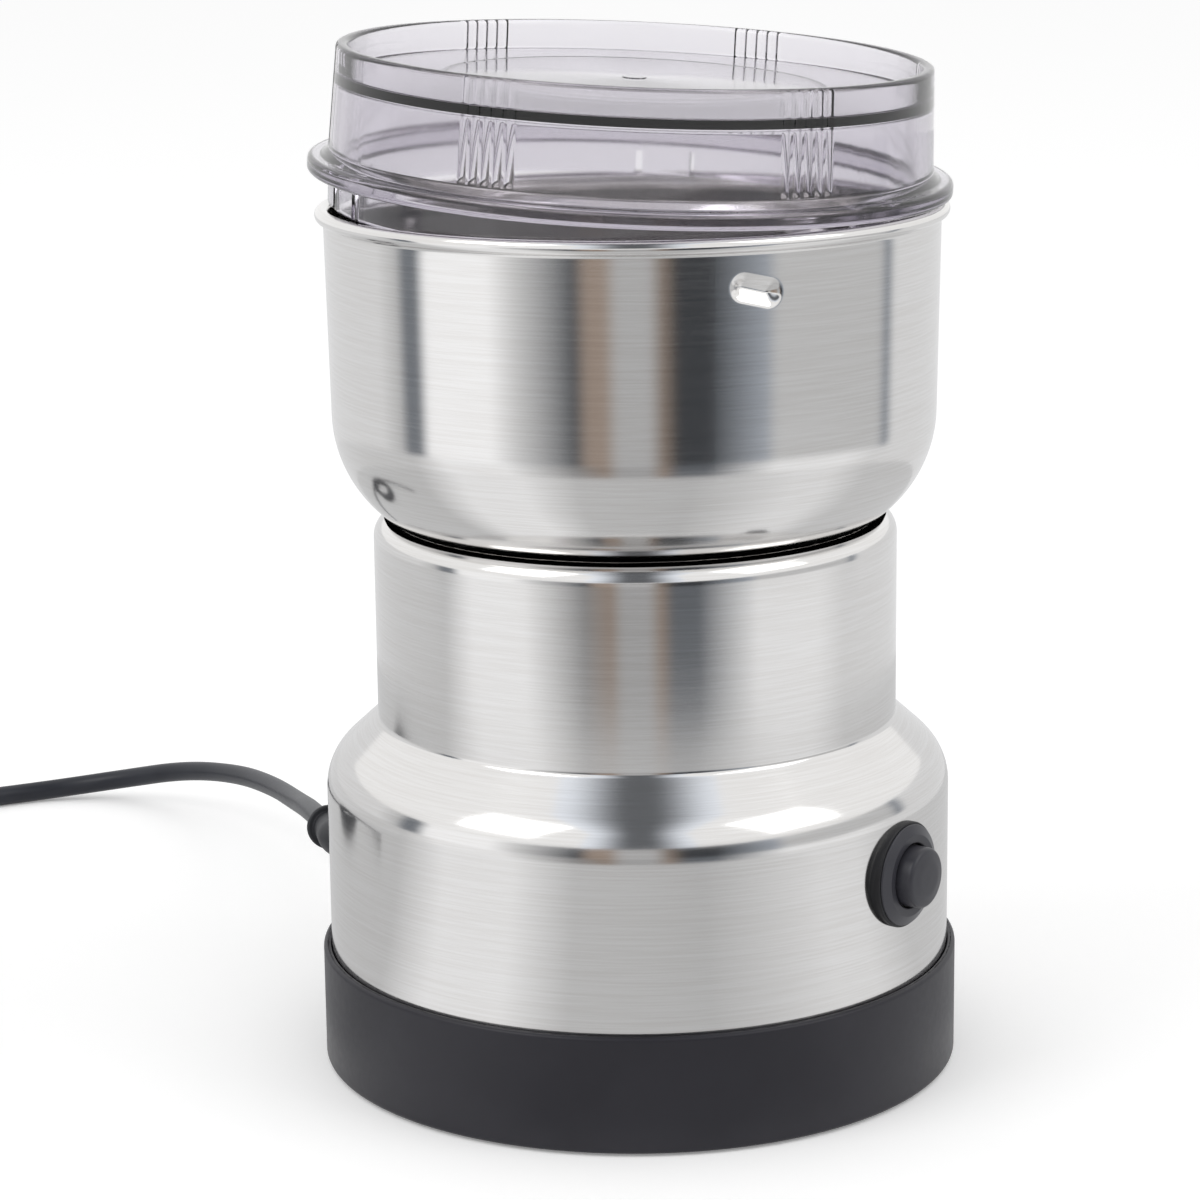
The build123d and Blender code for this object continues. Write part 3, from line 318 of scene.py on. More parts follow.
def surface(name, points, material, body, loop=True):
    """Piece from a grid of points in millimetres, whose rows close on themselves.

    Each face joins four neighbours. The last row meets the first where the outline is a loop, and
    otherwise one flat face closes each end. Faces turn outward where the outline runs round its wall
    with the wall on its left."""
    rows, columns = points.shape[:2]
    number = np.arange(rows * columns).reshape(rows, columns)
    low = number if loop else number[:-1]
    high = np.roll(number, -1, 0) if loop else number[1:]
    faces = np.stack([low, np.roll(low, -1, 1), np.roll(high, -1, 1), high], -1).reshape(-1, 4).tolist()
    if not loop:
        faces += [number[0][::-1].tolist(), number[-1].tolist()]
    mesh = bpy.data.meshes.new(name)
    mesh.from_pydata((points.reshape(-1, 3) * 0.001).tolist(), [], faces)
    mesh.polygons.foreach_set("use_smooth", np.ones(len(mesh.polygons), bool))
    mesh.materials.append(material)
    mesh.update()
    piece = bpy.data.objects.new(name, mesh)
    bpy.context.scene.collection.objects.link(piece)
    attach(piece, body)
    return piece


base_outline = rounded_outline([
    (POCKET_R, BASE_LOW, 0.3),
    (BASE_R, BASE_LOW, 0.8),
    (BASE_R, BASE_TOP, 0.7),
    (LIP_R, BASE_TOP, 0.4),
    (LIP_R, SHELL_SEAT, 0.1),
    (POCKET_R, SHELL_SEAT, 0.4),
])
black_abs = soft_plastic(
    "black_abs", paint(34, 33, 40), paint(39, 38, 45), 0.4, 700.0, 0.12, Specular_IOR_Level=0.35)
base_skirt = surface(
    "base_skirt", turned_points(base_outline, whole_turn()), black_abs, "housing")
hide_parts("base_ring")

# ---- Base plate, feet and screws
# The floor of the base is a black moulding with air slots for the motor's fan. Three self-tapping screws
# of zinc-plated steel hold it, and four soft rubber pads stand in wells of it.
plate_finish = soft_plastic(
    "black_floor", paint(30, 30, 33), paint(36, 36, 39), 0.5, 500.0, 0.3, Specular_IOR_Level=0.35)
foot_rubber = soft_plastic(
    "foot_rubber", paint(24, 24, 25), paint(32, 32, 33), 0.7, 1800.0, 0.5, Specular_IOR_Level=0.3)


def worked_metal(name, dark, light, roughness, grain, bump):
    """Bare metal piece: two close tones in soft clouds, and fine scratches and pits in its gloss."""
    material, shader, wire = new_finish(name, Metallic=1.0)
    where = wire.place()
    cloud = wire.noise(where, 150.0, 3.0)
    fine = wire.noise(where, grain, 3.0, 0.6)
    feed(shader, Base_Color=cloud.between(0.3, 0.7).blend(dark, light))
    feed(shader, Roughness=roughness - 0.06 + 0.12 * fine)
    feed(shader, Normal=fine.bump(bump, 0.00002))
    return material


zinc_finish = worked_metal("zinc_plate", paint(168, 170, 174), paint(190, 191, 194), 0.32, 1200.0, 0.25)
dress(plate_finish, "base_plate")
dress(foot_rubber, "rubber_feet")
dress(zinc_finish, "base_screws")

# ---- Body shell
# One deep drawing of 0.6 mm stainless steel: a cylinder that stands in the base, a rounded shoulder and a
# neck whose rolled-in top carries the bowl. It was brushed on a lathe, so its lines run round it.
SHELL_R, NECK_R, NECK_TOP, STEEL = 53.1, 44.1, 94.5, 0.6


def sheet_outline(corners, thickness):
    """Closed outline of a bent sheet: an open line of corners, and back along its copy to the left.

    The copy's corners lie on the bisector at the sheet's thickness from both runs, and an arc's radius
    shrinks by the thickness where the line turns left and grows by it where the line turns right."""
    line = np.array([(c[0], c[1]) for c in corners], float)
    size = np.array([c[2] if len(c) > 2 else 0.0 for c in corners])
    run = np.diff(line, axis=0)
    run /= np.linalg.norm(run, axis=1, keepdims=True)
    side = np.stack([-run[:, 1], run[:, 0]], 1)
    before, after = np.vstack([side[:1], side]), np.vstack([side, side[-1:]])
    copy = line + (before + after) * thickness / (1 + (before * after).sum(1, keepdims=True))
    bend = np.sign(before[:, 0] * after[:, 1] - before[:, 1] * after[:, 0])
    inner = np.where(size > 0, size - bend * thickness, 0)
    size, inner = np.maximum(size, 0.05), np.maximum(inner, 0.05)
    return [*np.column_stack([line, size]), *np.column_stack([copy, inner])[::-1]]


def brushed_steel(name, streak, dull, bump, anisotropy):
    """Stainless steel brushed round the axis.

    The noise is read at the point's direction from the axis, and at its height and radius as third and
    fourth coordinates, so it is drawn out along circles. It shifts the gloss and tone from line to line,
    and a finer one is the scratches themselves. A slow wave is the unevenness that drawing and polishing
    leave in the sheet. The shader spreads its reflections across the lines."""
    material, shader, wire = new_finish(
        name, Metallic=1.0, Anisotropic=anisotropy, Anisotropic_Rotation=0.25)
    x = wire.add("SeparateXYZ", None, {0: wire.place()})
    y, z = x.beside(1), x.beside(2)
    squares = x * x + y * y
    radius = squares.calc("SQRT", squares)
    coarse = wire.add("CombineXYZ", None, {0: x / radius * 3.0, 1: y / radius * 3.0, 2: z * streak})
    fine = wire.add("CombineXYZ", None, {0: x / radius * 14.0, 1: y / radius * 14.0, 2: z * streak * 3.0})
    bands = wire.add("TexNoise", {"noise_dimensions": "4D"}, {
        "Vector": coarse, "W": radius * streak, "Scale": 1.0, "Detail": 4.0, "Roughness": 0.65})
    lines = wire.add("TexNoise", {"noise_dimensions": "4D"}, {
        "Vector": fine, "W": radius * streak * 3.0, "Scale": 1.0, "Detail": 2.0, "Roughness": 0.5})
    smudge = wire.noise(wire.place(), 28.0, 3.0)
    feed(shader, Base_Color=bands.between(0.3, 0.7).blend(paint(224, 222, 220), paint(232, 231, 230)))
    feed(shader, Roughness=dull + 0.06 * bands + 0.04 * lines + 0.04 * smudge)
    wave = 250.0 * wire.noise(wire.place(), 12.0, 1.0)
    feed(shader, Normal=(bands + 0.6 * lines + wave).bump(bump, 0.00002))
    return material


shell_steel = brushed_steel("shell_steel", streak=3000.0, dull=0.06, bump=0.022, anisotropy=0.5)
shell_outline = rounded_outline(sheet_outline([
    (SHELL_R, SHELL_SEAT),
    (SHELL_R, 52.2, 9.5),
    (NECK_R, 60.4, 1.2),
    (NECK_R, NECK_TOP, 3.2),
    (NECK_R - 3.6, NECK_TOP),
], STEEL), points=17)
steel_shell = surface(
    "steel_shell", turned_points(shell_outline, whole_turn(480)), shell_steel, "housing")
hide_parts("body_shell")

# ---- Strain relief, cord tie and plug
# The relief is soft black PVC, moulded on the cord, with a flange against the shell and a ring at its end.
# The tie is a plastic-covered twist wire; the plug is a solid moulded two-pin one with nickel-plated pins.
relief_finish = soft_plastic(
    "relief_pvc", paint(36, 37, 41), paint(44, 45, 50), 0.45, 1500.0, 0.3, Specular_IOR_Level=0.4)
tie_finish = soft_plastic(
    "tie_plastic", paint(22, 22, 24), paint(30, 30, 33), 0.35, 2500.0, 0.2, Specular_IOR_Level=0.4)
plug_finish = soft_plastic(
    "plug_pvc", paint(34, 35, 39), paint(42, 43, 47), 0.45, 1200.0, 0.35, Specular_IOR_Level=0.4)
pin_finish = worked_metal("nickel_plate", paint(196, 192, 182), paint(214, 210, 200), 0.22, 900.0, 0.15)
RELIEF_AZ, RELIEF_Z = np.radians(160.0), 31.6
outward = np.array([np.cos(RELIEF_AZ), np.sin(RELIEF_AZ), 0.0])
cord_ahead = cord_route[1] - cord_route[0]
cord_ahead /= np.linalg.norm(cord_ahead)


def swept_points(centres, headings, radii, count=48):
    """Grid of circles square to a path: centre + radius (side cos t + rise sin t).

    The side is the heading crossed with the vertical, and the rise is the heading crossed with the side."""
    side = np.cross(headings, [0, 0, 1.0])
    side /= np.linalg.norm(side, axis=1, keepdims=True)
    rise = np.cross(headings, side)
    angle = np.radians(whole_turn(count))[None, :, None]
    circle = np.cos(angle) * side[:, None] + np.sin(angle) * rise[:, None]
    return centres[:, None] + radii[:, None, None] * circle


plain_end = rounded_outline([
    (0.02, 36.0), (3.0, 36.0, 0.4), (4.4, 49.2), (6.3, 49.2, 0.3), (6.3, 51.2, 0.1), (4.6, 51.2, 0.1),
    (4.6, 52.4, 0.1), (6.5, 52.4, 0.2), (6.5, 54.6, 0.5), (4.9, 54.6, 0.3), (4.6, 54.9),
], closed=False)
ring_end = rounded_outline([
    (2.9, -1.6), (3.0, -1.4, 0.2), (4.0, -1.4, 0.4), (4.0, 0.0, 0.4), (2.2, 0.0, 0.1), (0.02, -0.1),
], closed=False)
# The bend is a cubic curve: it leaves the hole along the hole's axis and meets the ring along the cord.
pulls = np.array([
    54.2 * outward, 58.7 * outward, cord_route[0] - 8.5 * cord_ahead, cord_route[0] - 1.7 * cord_ahead])
pulls[:2, 2] += RELIEF_Z
share = np.linspace(0.12, 0.98, 20)[:, None]
bend = (pulls[0] * (1 - share)**3 + 3 * pulls[1] * share * (1 - share)**2
        + 3 * pulls[2] * share**2 * (1 - share) + pulls[3] * share**3)
turning = ((pulls[1] - pulls[0]) * (1 - share)**2 + 2 * (pulls[2] - pulls[1]) * share * (1 - share)
           + (pulls[3] - pulls[2]) * share**2)
relief_centres = np.concatenate([
    plain_end[:, 1:] * outward + np.array([0, 0, RELIEF_Z]),
    bend,
    cord_route[0] + ring_end[:, 1:] * cord_ahead,
])
relief_headings = np.concatenate([
    np.tile(outward, (len(plain_end), 1)), turning, np.tile(cord_ahead, (len(ring_end), 1))])
relief_headings /= np.linalg.norm(relief_headings, axis=1, keepdims=True)
neck_radii = np.interp(share[:, 0], [0.0, 0.25, 0.5, 0.8, 1.0], [4.7, 3.6, 3.0, 2.8, 2.9])
relief_radii = np.concatenate([plain_end[:, 0], neck_radii, ring_end[:, 0]])
cord_relief = surface(
    "cord_relief", swept_points(relief_centres, relief_headings, relief_radii), relief_finish,
    "housing", loop=False)
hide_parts("strain_relief")
dress(tie_finish, "cord_tie")
dress(plug_finish, "plug_body")
dress(pin_finish, "plug_pins")
# In the shell's reflection the plug would stand as a black blot, so shiny surfaces don't see it.
for name in ("plug_body", "plug_pins"):
    bpy.data.objects[name].visible_glossy = False

# ---- Push button
# A black nylon push button stands in the shell on a rubber gasket. Its bezel is part of the barrel that
# the nut holds inside; the button itself slides in it. All are round about the button's own axis.
SWITCH_AZ, SWITCH_Z = np.radians(-35.5), 39.7
SWITCH_OUT = np.array([np.cos(SWITCH_AZ), np.sin(SWITCH_AZ), 0])
SWITCH_ALONG = np.array([-np.sin(SWITCH_AZ), np.cos(SWITCH_AZ), 0])
GASKET_FACE, BEZEL_FACE, BUTTON_FACE = 54.1, 55.2, 58.1
BUTTON_R, BUTTON_SLOT, BARREL_R, BEZEL_R, GASKET_R = 5.05, 5.4, 6.6, 8.4, 8.8


def switch_points(outline, count=120):
    """Grid of an outline carried round the button's axis: its heights run outward from the grinder's."""
    local = turned_points(outline, whole_turn(count))
    rise = np.array([0, 0, 1.0])
    return (local[..., :1] * SWITCH_ALONG + local[..., 1:2] * rise + local[..., 2:] * SWITCH_OUT
            + SWITCH_Z * rise)


nylon = soft_plastic(
    "black_nylon", paint(50, 50, 56), paint(56, 56, 62), 0.32, 1500.0, 0.15, Specular_IOR_Level=0.4)
button_nylon = soft_plastic(
    "button_nylon", paint(48, 48, 54), paint(54, 54, 60), 0.34, 1500.0, 0.15, Specular_IOR_Level=0.4)
gasket_rubber = soft_plastic(
    "gasket_rubber", paint(24, 24, 27), paint(30, 30, 33), 0.5, 1800.0, 0.3, Specular_IOR_Level=0.35)

# The gasket's back is lifted until it lies on the round shell.
gasket_outline = rounded_outline([
    (BARREL_R + 0.05, 51.0), (GASKET_R, 51.0), (GASKET_R, GASKET_FACE, 0.35), (BARREL_R + 0.05, GASKET_FACE)])
gasket = switch_points(gasket_outline)
fall, away = gasket @ SWITCH_ALONG, gasket @ SWITCH_OUT
lift = np.maximum(np.sqrt(SHELL_R**2 - fall**2) - away, 0) * (away < 52)
gasket += lift[..., None] * SWITCH_OUT
button_gasket = surface("button_gasket", gasket, gasket_rubber, "housing")
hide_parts("switch_gasket")

bezel_outline = rounded_outline([
    (BUTTON_SLOT, 46.0),
    (BARREL_R, 46.0),
    (BARREL_R, GASKET_FACE),
    (BEZEL_R, GASKET_FACE, 0.1),
    (BEZEL_R, GASKET_FACE + 0.3, 0.2),
    (BEZEL_R - 1.6, BEZEL_FACE, 0.3),
    (BUTTON_SLOT, BEZEL_FACE, 0.3),
])
button_bezel = surface("button_bezel", switch_points(bezel_outline), nylon, "housing")
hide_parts("switch_bezel")

cap_outline = rounded_outline([
    (0.02, 38.2),
    (1.6, 38.2, 0.4),
    (1.6, BUTTON_FACE - 4),
    (BUTTON_R - 0.8, BUTTON_FACE - 4),
    (BUTTON_R - 0.8, 43.6),
    (BUTTON_R + 1.0, 43.6),
    (BUTTON_R + 1.0, 45.65),
    (BUTTON_R, 45.65),
    (BUTTON_R, BUTTON_FACE - 0.35, 0.8),
    (BUTTON_R * 0.55, BUTTON_FACE + 0.15, 6.0),
    (0.02, BUTTON_FACE + 0.25),
], closed=False)
push_button = surface(
    "push_button", switch_points(cap_outline), button_nylon, "button", loop=False)
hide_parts("switch_button")

# ---- Inside of the button
# Behind the bezel sit a nylon housing and nut, a spring of hard steel wire and brass tabs. Two PVC-covered
# leads run from the tabs to the motor.
inner_nylon = soft_plastic(
    "inner_nylon", paint(38, 38, 40), paint(46, 46, 48), 0.5, 900.0, 0.3, Specular_IOR_Level=0.35)
brass = worked_metal("brass", paint(196, 164, 92), paint(212, 182, 112), 0.3, 1100.0, 0.25)
lead_pvc = soft_plastic(
    "lead_pvc", paint(34, 35, 38), paint(44, 45, 48), 0.4, 1500.0, 0.2, Specular_IOR_Level=0.4)
dress(inner_nylon, "switch_housing", "switch_nut", "bowl_mount", "cooling_fan")
dress(zinc_finish, "switch_spring", "motor_screws")
dress(brass, "switch_terminals", "brush_holders")
dress(lead_pvc, "internal_leads")

# ---- Motor
# A universal motor hangs under the bowl's carrier: laminated poles with enamelled windings, carbon
# brushes on a copper commutator, sintered bronze bearings, and a turned steel shaft up into the bowl.
bronze = worked_metal("sintered_bronze", paint(150, 112, 74), paint(176, 136, 92), 0.5, 2600.0, 0.6)
copper_bar = worked_metal("commutator_copper", paint(190, 116, 82), paint(208, 134, 98), 0.3, 1500.0, 0.3)
shaft_steel = worked_metal("turned_steel", paint(172, 172, 174), paint(196, 196, 198), 0.2, 1500.0, 0.2)
carbon = soft_plastic(
    "carbon", paint(38, 38, 40), paint(58, 58, 60), 0.6, 2600.0, 0.6, Specular_IOR_Level=0.5)


def striped_metal(name, dark, light, pitch, roughness, bump):
    """Stacked laminations or wound wire: even stripes in height in the surface, with the tone darker in their
    grooves.
    """
    material, shader, wire = new_finish(name, Metallic=0.85)
    height = wire.add("SeparateXYZ", None, {0: wire.place()}).beside(2)
    phase = height * (2 * np.pi / pitch)
    ridge = phase.calc("SINE", phase) * 0.5 + 0.5
    worn = wire.noise(wire.place(), 300.0, 3.0)
    # The tone follows the stripes, darker in their grooves: on a winding that is painted shade between the
    # round turns, and on a core it is the dark joints between the sheets.
    feed(shader, Base_Color=(ridge * 0.7 + worn * 0.3).blend(dark, light))
    feed(shader, Roughness=roughness - 0.1 + 0.2 * worn)
    feed(shader, Normal=ridge.bump(bump, 0.0001))
    return material


lamination = striped_metal("lamination", paint(88, 88, 92), paint(150, 150, 154), 0.001, 0.45, 0.6)
winding = striped_metal("enamelled_wire", paint(120, 60, 36), paint(196, 112, 66), 0.0008, 0.35, 0.8)
dress(bronze, "upper_bearing", "lower_bearing")
dress(lamination, "stator_core", "armature_core")
dress(winding, "field_coils", "armature_winding")
dress(copper_bar, "commutator", "brush_springs")
dress(carbon, "carbon_brushes")
dress(shaft_steel, "motor_shaft")
dress(zinc_finish, "lower_bracket")

# ---- Bowl
# A deep drawing of 0.7 mm stainless steel with a rolled bead round its mouth, brushed on a lathe. Three
# oval dimples, pressed in from outside, are the catches that the lid's tabs turn behind.
BOWL_LOW, BOWL_R, BOWL_ROUND, BOWL_STEEL = 91.0, 50.2, 21.5, 0.7
BOWL_FLARE, RIM_R, RIM_Z, BEAD_R = 0.017, 52.5, 145.7, 1.2
DIMPLE_Z, DIMPLE_FIRST, DIMPLE_DEEP = 138.55, -68.1, 1.3
DIMPLE_CORE, DIMPLE_EDGE, DIMPLE_SLANT = 2.15, 2.5, np.radians(-14.0)


def dimples(points):
    """Depth of the three dimples at each point of the bowl's wall.

    A dimple deepens from its oval edge to its core, as 3t^2 - 2t^3 of the distance in from the edge. The
    core is a straight line, the edge lies at one distance all round it, and both slope by one angle."""
    azimuth = np.degrees(np.arctan2(points[..., 1], points[..., 0]))
    near = (azimuth - DIMPLE_FIRST + 60) % 120 - 60
    along = np.radians(near) * np.hypot(points[..., 0], points[..., 1])
    rise = points[..., 2] - DIMPLE_Z
    u = along * np.cos(DIMPLE_SLANT) + rise * np.sin(DIMPLE_SLANT)
    v = rise * np.cos(DIMPLE_SLANT) - along * np.sin(DIMPLE_SLANT)
    inward = DIMPLE_EDGE - np.hypot(np.maximum(np.abs(u) - DIMPLE_CORE, 0), v)
    return DIMPLE_DEEP * eased(inward, 0.0, DIMPLE_EDGE + 0.1)


def bowl_wall(heights, inset=0.0):
    """Outline of the bowl's side, which flares evenly with its height, at these heights."""
    return np.column_stack([BOWL_R + BOWL_FLARE * (heights - BOWL_LOW) - inset, heights])


bowl_flank = [(6.0, BOWL_LOW), (BOWL_R, BOWL_LOW, BOWL_ROUND)]
flank = rounded_outline([*bowl_flank, (51.11, 144.55)], closed=False, points=33, guard=0.6)
inner_flank = rounded_outline(
    sheet_outline([*bowl_flank, (51.13, 145.6)], BOWL_STEEL)[3:], closed=False, points=33, guard=0.6)
# Heights lie close together where the dimples are, and so do the azimuths.
steps = np.concatenate([np.linspace(116, 134, 5), np.arange(135.2, 142.0, 0.22), [143.0, 144.0]])
curl = np.radians(np.linspace(-98, 212, 41))
bead = np.column_stack([RIM_R - BEAD_R + BEAD_R * np.cos(curl), RIM_Z + BEAD_R * np.sin(curl)])
inner_wall = bowl_wall(steps[::-1] - 0.1, BOWL_STEEL)
bowl_outline = np.concatenate([flank[:-1], bowl_wall(steps), bead, inner_wall, inner_flank[1:]])
bowl_azimuths = np.concatenate([
    DIMPLE_FIRST + 120 * i + np.concatenate([np.arange(-7.5, 7.5, 0.22), np.linspace(7.6, 112.3, 76)])
    for i in range(3)])
bowl_points = turned_points(bowl_outline, bowl_azimuths)
pressed = dimples(bowl_points) / np.hypot(bowl_points[..., 0], bowl_points[..., 1])
bowl_points[..., :2] *= 1 - pressed[..., None]
bowl_steel = brushed_steel("bowl_steel", streak=3000.0, dull=0.055, bump=0.035, anisotropy=0.45)
steel_bowl = surface("steel_bowl", bowl_points, bowl_steel, "housing")
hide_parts("bowl")

# ---- Screws and seal in the bowl
# Three pan-head screws of zinc-plated steel hold the bowl to its carrier, and a rubber lip seals the
# shaft where it comes up through the floor.
dress(zinc_finish, "bowl_screws")
dress(gasket_rubber, "bowl_seal")

# ---- Blade
# Four wings, stamped from one polished stainless sheet and bent up and down in turn, are clamped on the
# shaft between a spacer below and a washer and nut above.
blade_steel = worked_metal("blade_steel", paint(204, 204, 206), paint(222, 222, 224), 0.16, 1000.0, 0.12)
dress(blade_steel, "blade", "blade_washer", "blade_nut")
dress(shaft_steel, "blade_spacer")

# ---- Lid
# One injection moulding of smoky clear SAN: a flange that stands on the bowl's bead, a wall with six
# groups of five grip flutes, a sunk top with a gate nub, and a skirt with three tabs and split sides.
# It isn't turned home, so it stands a little askew on the bead.
FLANGE_R, FLANGE_HIGH, LID_HIGH, SKIRT_R = 53.27, 2.8, 21.0, 49.75
DISC_TOP, DOME, DISC, RIM_IN, INNER_R = 16.1, 0.7, 1.4, 47.0, 47.75
LID_Z, LID_TILT, LID_LOW, LID_SHIFT = 150.4, np.radians(3.585), np.radians(-30.0), 0.35
RING_R, RING_STEP, GATE_R, GATE_HIGH = 31.0, 0.05, 2.0, 0.15
FLUTE_R, FLUTE_OUT, FLUTE_FIRST, FLUTE_STEP = 0.8, 0.4, 3.0, 2.4
SKIRT_DEEP, TAB_FIRST, SLIT_FIRST = 5.2, -84.0, 82.0
TAB_SIDE, SLIT_NEAR, SLIT_FAR, EDGE_STEP = 5.4, 5.1, 6.5, 0.03
LID_WALL_R, LID_WALL_TAPER, LID_WALL_FOOT = 49.85, 0.05, 4.2

lid_outline = rounded_outline([
    (0.02, DISC_TOP + DOME - DISC),
    (INNER_R - 1.2, DISC_TOP - DISC, 0.6),
    (INNER_R, -SKIRT_DEEP, 0.4),
    (SKIRT_R, -SKIRT_DEEP, 0.5),
    (SKIRT_R, 0.0, 0.3),
    (FLANGE_R, 0.0, 0.9),
    (FLANGE_R, FLANGE_HIGH, 0.9),
    (50.95, FLANGE_HIGH, 0.6),
    (LID_WALL_R, FLANGE_HIGH + 1.2, 0.8),
    (49.0, LID_HIGH, 0.8),
    (RIM_IN, LID_HIGH, 0.8),
    (RIM_IN - 0.3, DISC_TOP, 0.4),
    (RING_R + 0.8, DISC_TOP + 0.35),
    (RING_R, DISC_TOP + 0.35 - RING_STEP),
    (GATE_R, DISC_TOP + DOME, 0.1),
    (GATE_R, DISC_TOP + DOME + GATE_HIGH, 0.12),
    (0.02, DISC_TOP + DOME + GATE_HIGH),
], closed=False)
# More rows go in where the flutes start, and where the tabs and slits leave the skirt on either side.
SKIRT_ROOT, SKIRT_BEND = -0.95, -1.3
reach, height = lid_outline.T
foot = np.flatnonzero((reach > 49) & (height > LID_WALL_FOOT) & (height < 8))[-1]
rising = lid_outline[foot + 1] - lid_outline[foot]
starts = lid_outline[foot] + rising * np.linspace(0.006, 0.09, 7)[:, None]
lid_outline = np.insert(lid_outline, foot + 1, starts, axis=0)
reach, height = lid_outline.T
skirt = np.flatnonzero((reach > 49.6) & (height < -3))[-1]
lid_outline = np.insert(lid_outline, skirt + 1, [(SKIRT_R, SKIRT_BEND), (SKIRT_R, SKIRT_ROOT)], axis=0)
inside = np.flatnonzero(lid_outline[:, 1] < 5)[0] - 1
inner_side = lid_outline[[inside + 1, inside]]
depth = np.array([0.0, SKIRT_ROOT, SKIRT_BEND])
inside_rows = np.column_stack([np.interp(depth, inner_side[:, 1], inner_side[:, 0]), depth])
lid_outline = np.insert(lid_outline, inside + 1, inside_rows, axis=0)

# Two azimuths, a very small step apart, stand at each upright edge of a tab or slit.
flute_edges = FLUTE_FIRST + FLUTE_STEP * np.arange(-2, 3)[:, None] + np.linspace(-1.1, 1.1, 15)[None, :]
tab_edges = TAB_FIRST + np.array([-TAB_SIDE, EDGE_STEP - TAB_SIDE, TAB_SIDE - EDGE_STEP, TAB_SIDE])
slit_edge = np.array([SLIT_NEAR, SLIT_NEAR + EDGE_STEP, SLIT_FAR - EDGE_STEP, SLIT_FAR])
slit_edges = SLIT_FIRST + np.concatenate([-slit_edge, slit_edge])
lid_azimuths = np.unique(np.round(np.concatenate([
    whole_turn(200),
    *[(flute_edges.ravel() + 60 * i) % 360 for i in range(6)],
    *[(tab_edges + 120 * i) % 360 for i in range(3)],
    *[(slit_edges + 120 * i) % 360 for i in range(3)],
]), 2))


def lid_shape(outline, azimuths):
    """Lid in its own frame: the turned outline with flutes, tabs and slits worked into it.

    A flute is a round groove about a line a little outside the wall, so the wall's radius is the least
    of its own and the groove's. The skirt's lower edge is drawn down by a third at the tabs and up to
    its root at the slits."""
    points = turned_points(outline, azimuths)
    radius = np.hypot(points[..., 0], points[..., 1])
    wall_r = LID_WALL_R - LID_WALL_TAPER * (points[..., 2] - FLANGE_HIGH - 1.2)
    near = (azimuths - FLUTE_FIRST + 30) % 60 - 30
    step = np.clip(np.round(near / FLUTE_STEP), -2, 2)
    aside = np.radians(near - step * FLUTE_STEP) * (LID_WALL_R - 0.35)
    groove = np.sqrt(np.maximum(FLUTE_R**2 - aside**2, 0)) - FLUTE_OUT
    deep = np.maximum(groove, 0)[None, :] * eased(points[..., 2], LID_WALL_FOOT + 0.1, LID_WALL_FOOT + 1.0)
    outer = (radius > 48.0) & (points[..., 2] > LID_WALL_FOOT)
    capped = np.where(outer, np.minimum(radius, wall_r - deep), radius)
    points[..., :2] *= (capped / radius)[..., None]
    tab = np.abs((azimuths - TAB_FIRST + 60) % 120 - 60) < TAB_SIDE - EDGE_STEP / 3
    aside = np.abs((azimuths - SLIT_FIRST + 60) % 120 - 60)
    slit = (aside > SLIT_NEAR + EDGE_STEP / 3) & (aside < SLIT_FAR - EDGE_STEP / 3)
    stretch = np.where(tab, 1.33, np.where(slit, 0.02, 1.0))[None, :]
    low = np.minimum(points[..., 2] - SKIRT_ROOT, 0)
    points[..., 2] += low * (stretch - 1)
    return points


def set_askew(points):
    """Turn about the level line through the lid's middle that crosses its low side, then set it in place.

    A point is turned by Rodrigues' formula: p cos + (k x p) sin + k (k . p)(1 - cos)."""
    pivot = np.array([np.cos(LID_LOW + np.pi / 2), np.sin(LID_LOW + np.pi / 2), 0])
    turned = points * np.cos(LID_TILT) + np.cross(pivot, points) * np.sin(LID_TILT)
    turned += (points @ pivot)[..., None] * pivot * (1 - np.cos(LID_TILT))
    return turned + np.array([-LID_SHIFT * np.cos(LID_LOW), -LID_SHIFT * np.sin(LID_LOW), LID_Z])


smoky, smoky_shader, smoky_wire = new_finish(
    "smoky_san", Transmission_Weight=1.0, IOR=1.52, Base_Color=(0.97, 0.965, 0.98, 1.0))
haze = smoky_wire.noise(smoky_wire.place(), 45.0, 3.0)
specks = smoky_wire.noise(smoky_wire.place(), 500.0, 2.0)
feed(smoky_shader, Roughness=0.05 + 0.04 * haze.between(0.45, 0.8))
feed(smoky_shader, Normal=(haze + 0.3 * specks).bump(0.02, 0.00005))
# The plastic itself is tinted, so it looks darker where a line of sight runs further through it.
smoke = smoky.node_tree.nodes.new("ShaderNodeVolumeAbsorption")
smoke.inputs["Color"].default_value = (0.17, 0.095, 0.245, 1.0)
smoke.inputs["Density"].default_value = 82.0
smoky.node_tree.links.new(smoke.outputs[0], smoky.node_tree.nodes["Material Output"].inputs["Volume"])
clear_lid = surface(
    "clear_lid", set_askew(lid_shape(lid_outline, lid_azimuths)), smoky, "lid", loop=False)
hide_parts("lid_cover")

# ---- Table, studio panels and lamps
# The grinder stands on a white table against a white background, under two square lamps. Light and dark
# panels, which only shiny surfaces see, stand for the windows and the doorway of the studio round it, and a
# grey sheet that only they see too is painted shade and light on the table round the grinder.


def plain_object(name, vertices, faces, material):
    """Stage object from a few vertices and faces, in metres."""
    mesh = bpy.data.meshes.new(name)
    mesh.from_pydata(vertices, [], faces)
    mesh.materials.append(material)
    thing = bpy.data.objects.new(name, mesh)
    bpy.context.scene.collection.objects.link(thing)
    return thing


table_paint, table_shader, table_wire = new_finish(
    "table_white", Roughness=0.9, Specular_IOR_Level=0.0, Base_Color=(0.94, 0.94, 0.94, 1.0),
    Emission_Color=(1.0, 1.0, 1.0, 1.0))


def direct_sight(wire):
    """1 for what is seen straight, in metal or through glass, and 0 for the light on the object."""
    path = wire.add("LightPath")
    mirrored = path.calc("MAXIMUM", path, path.beside("Is Glossy Ray"))
    return path.calc("MAXIMUM", mirrored, path.beside("Is Transmission Ray"))


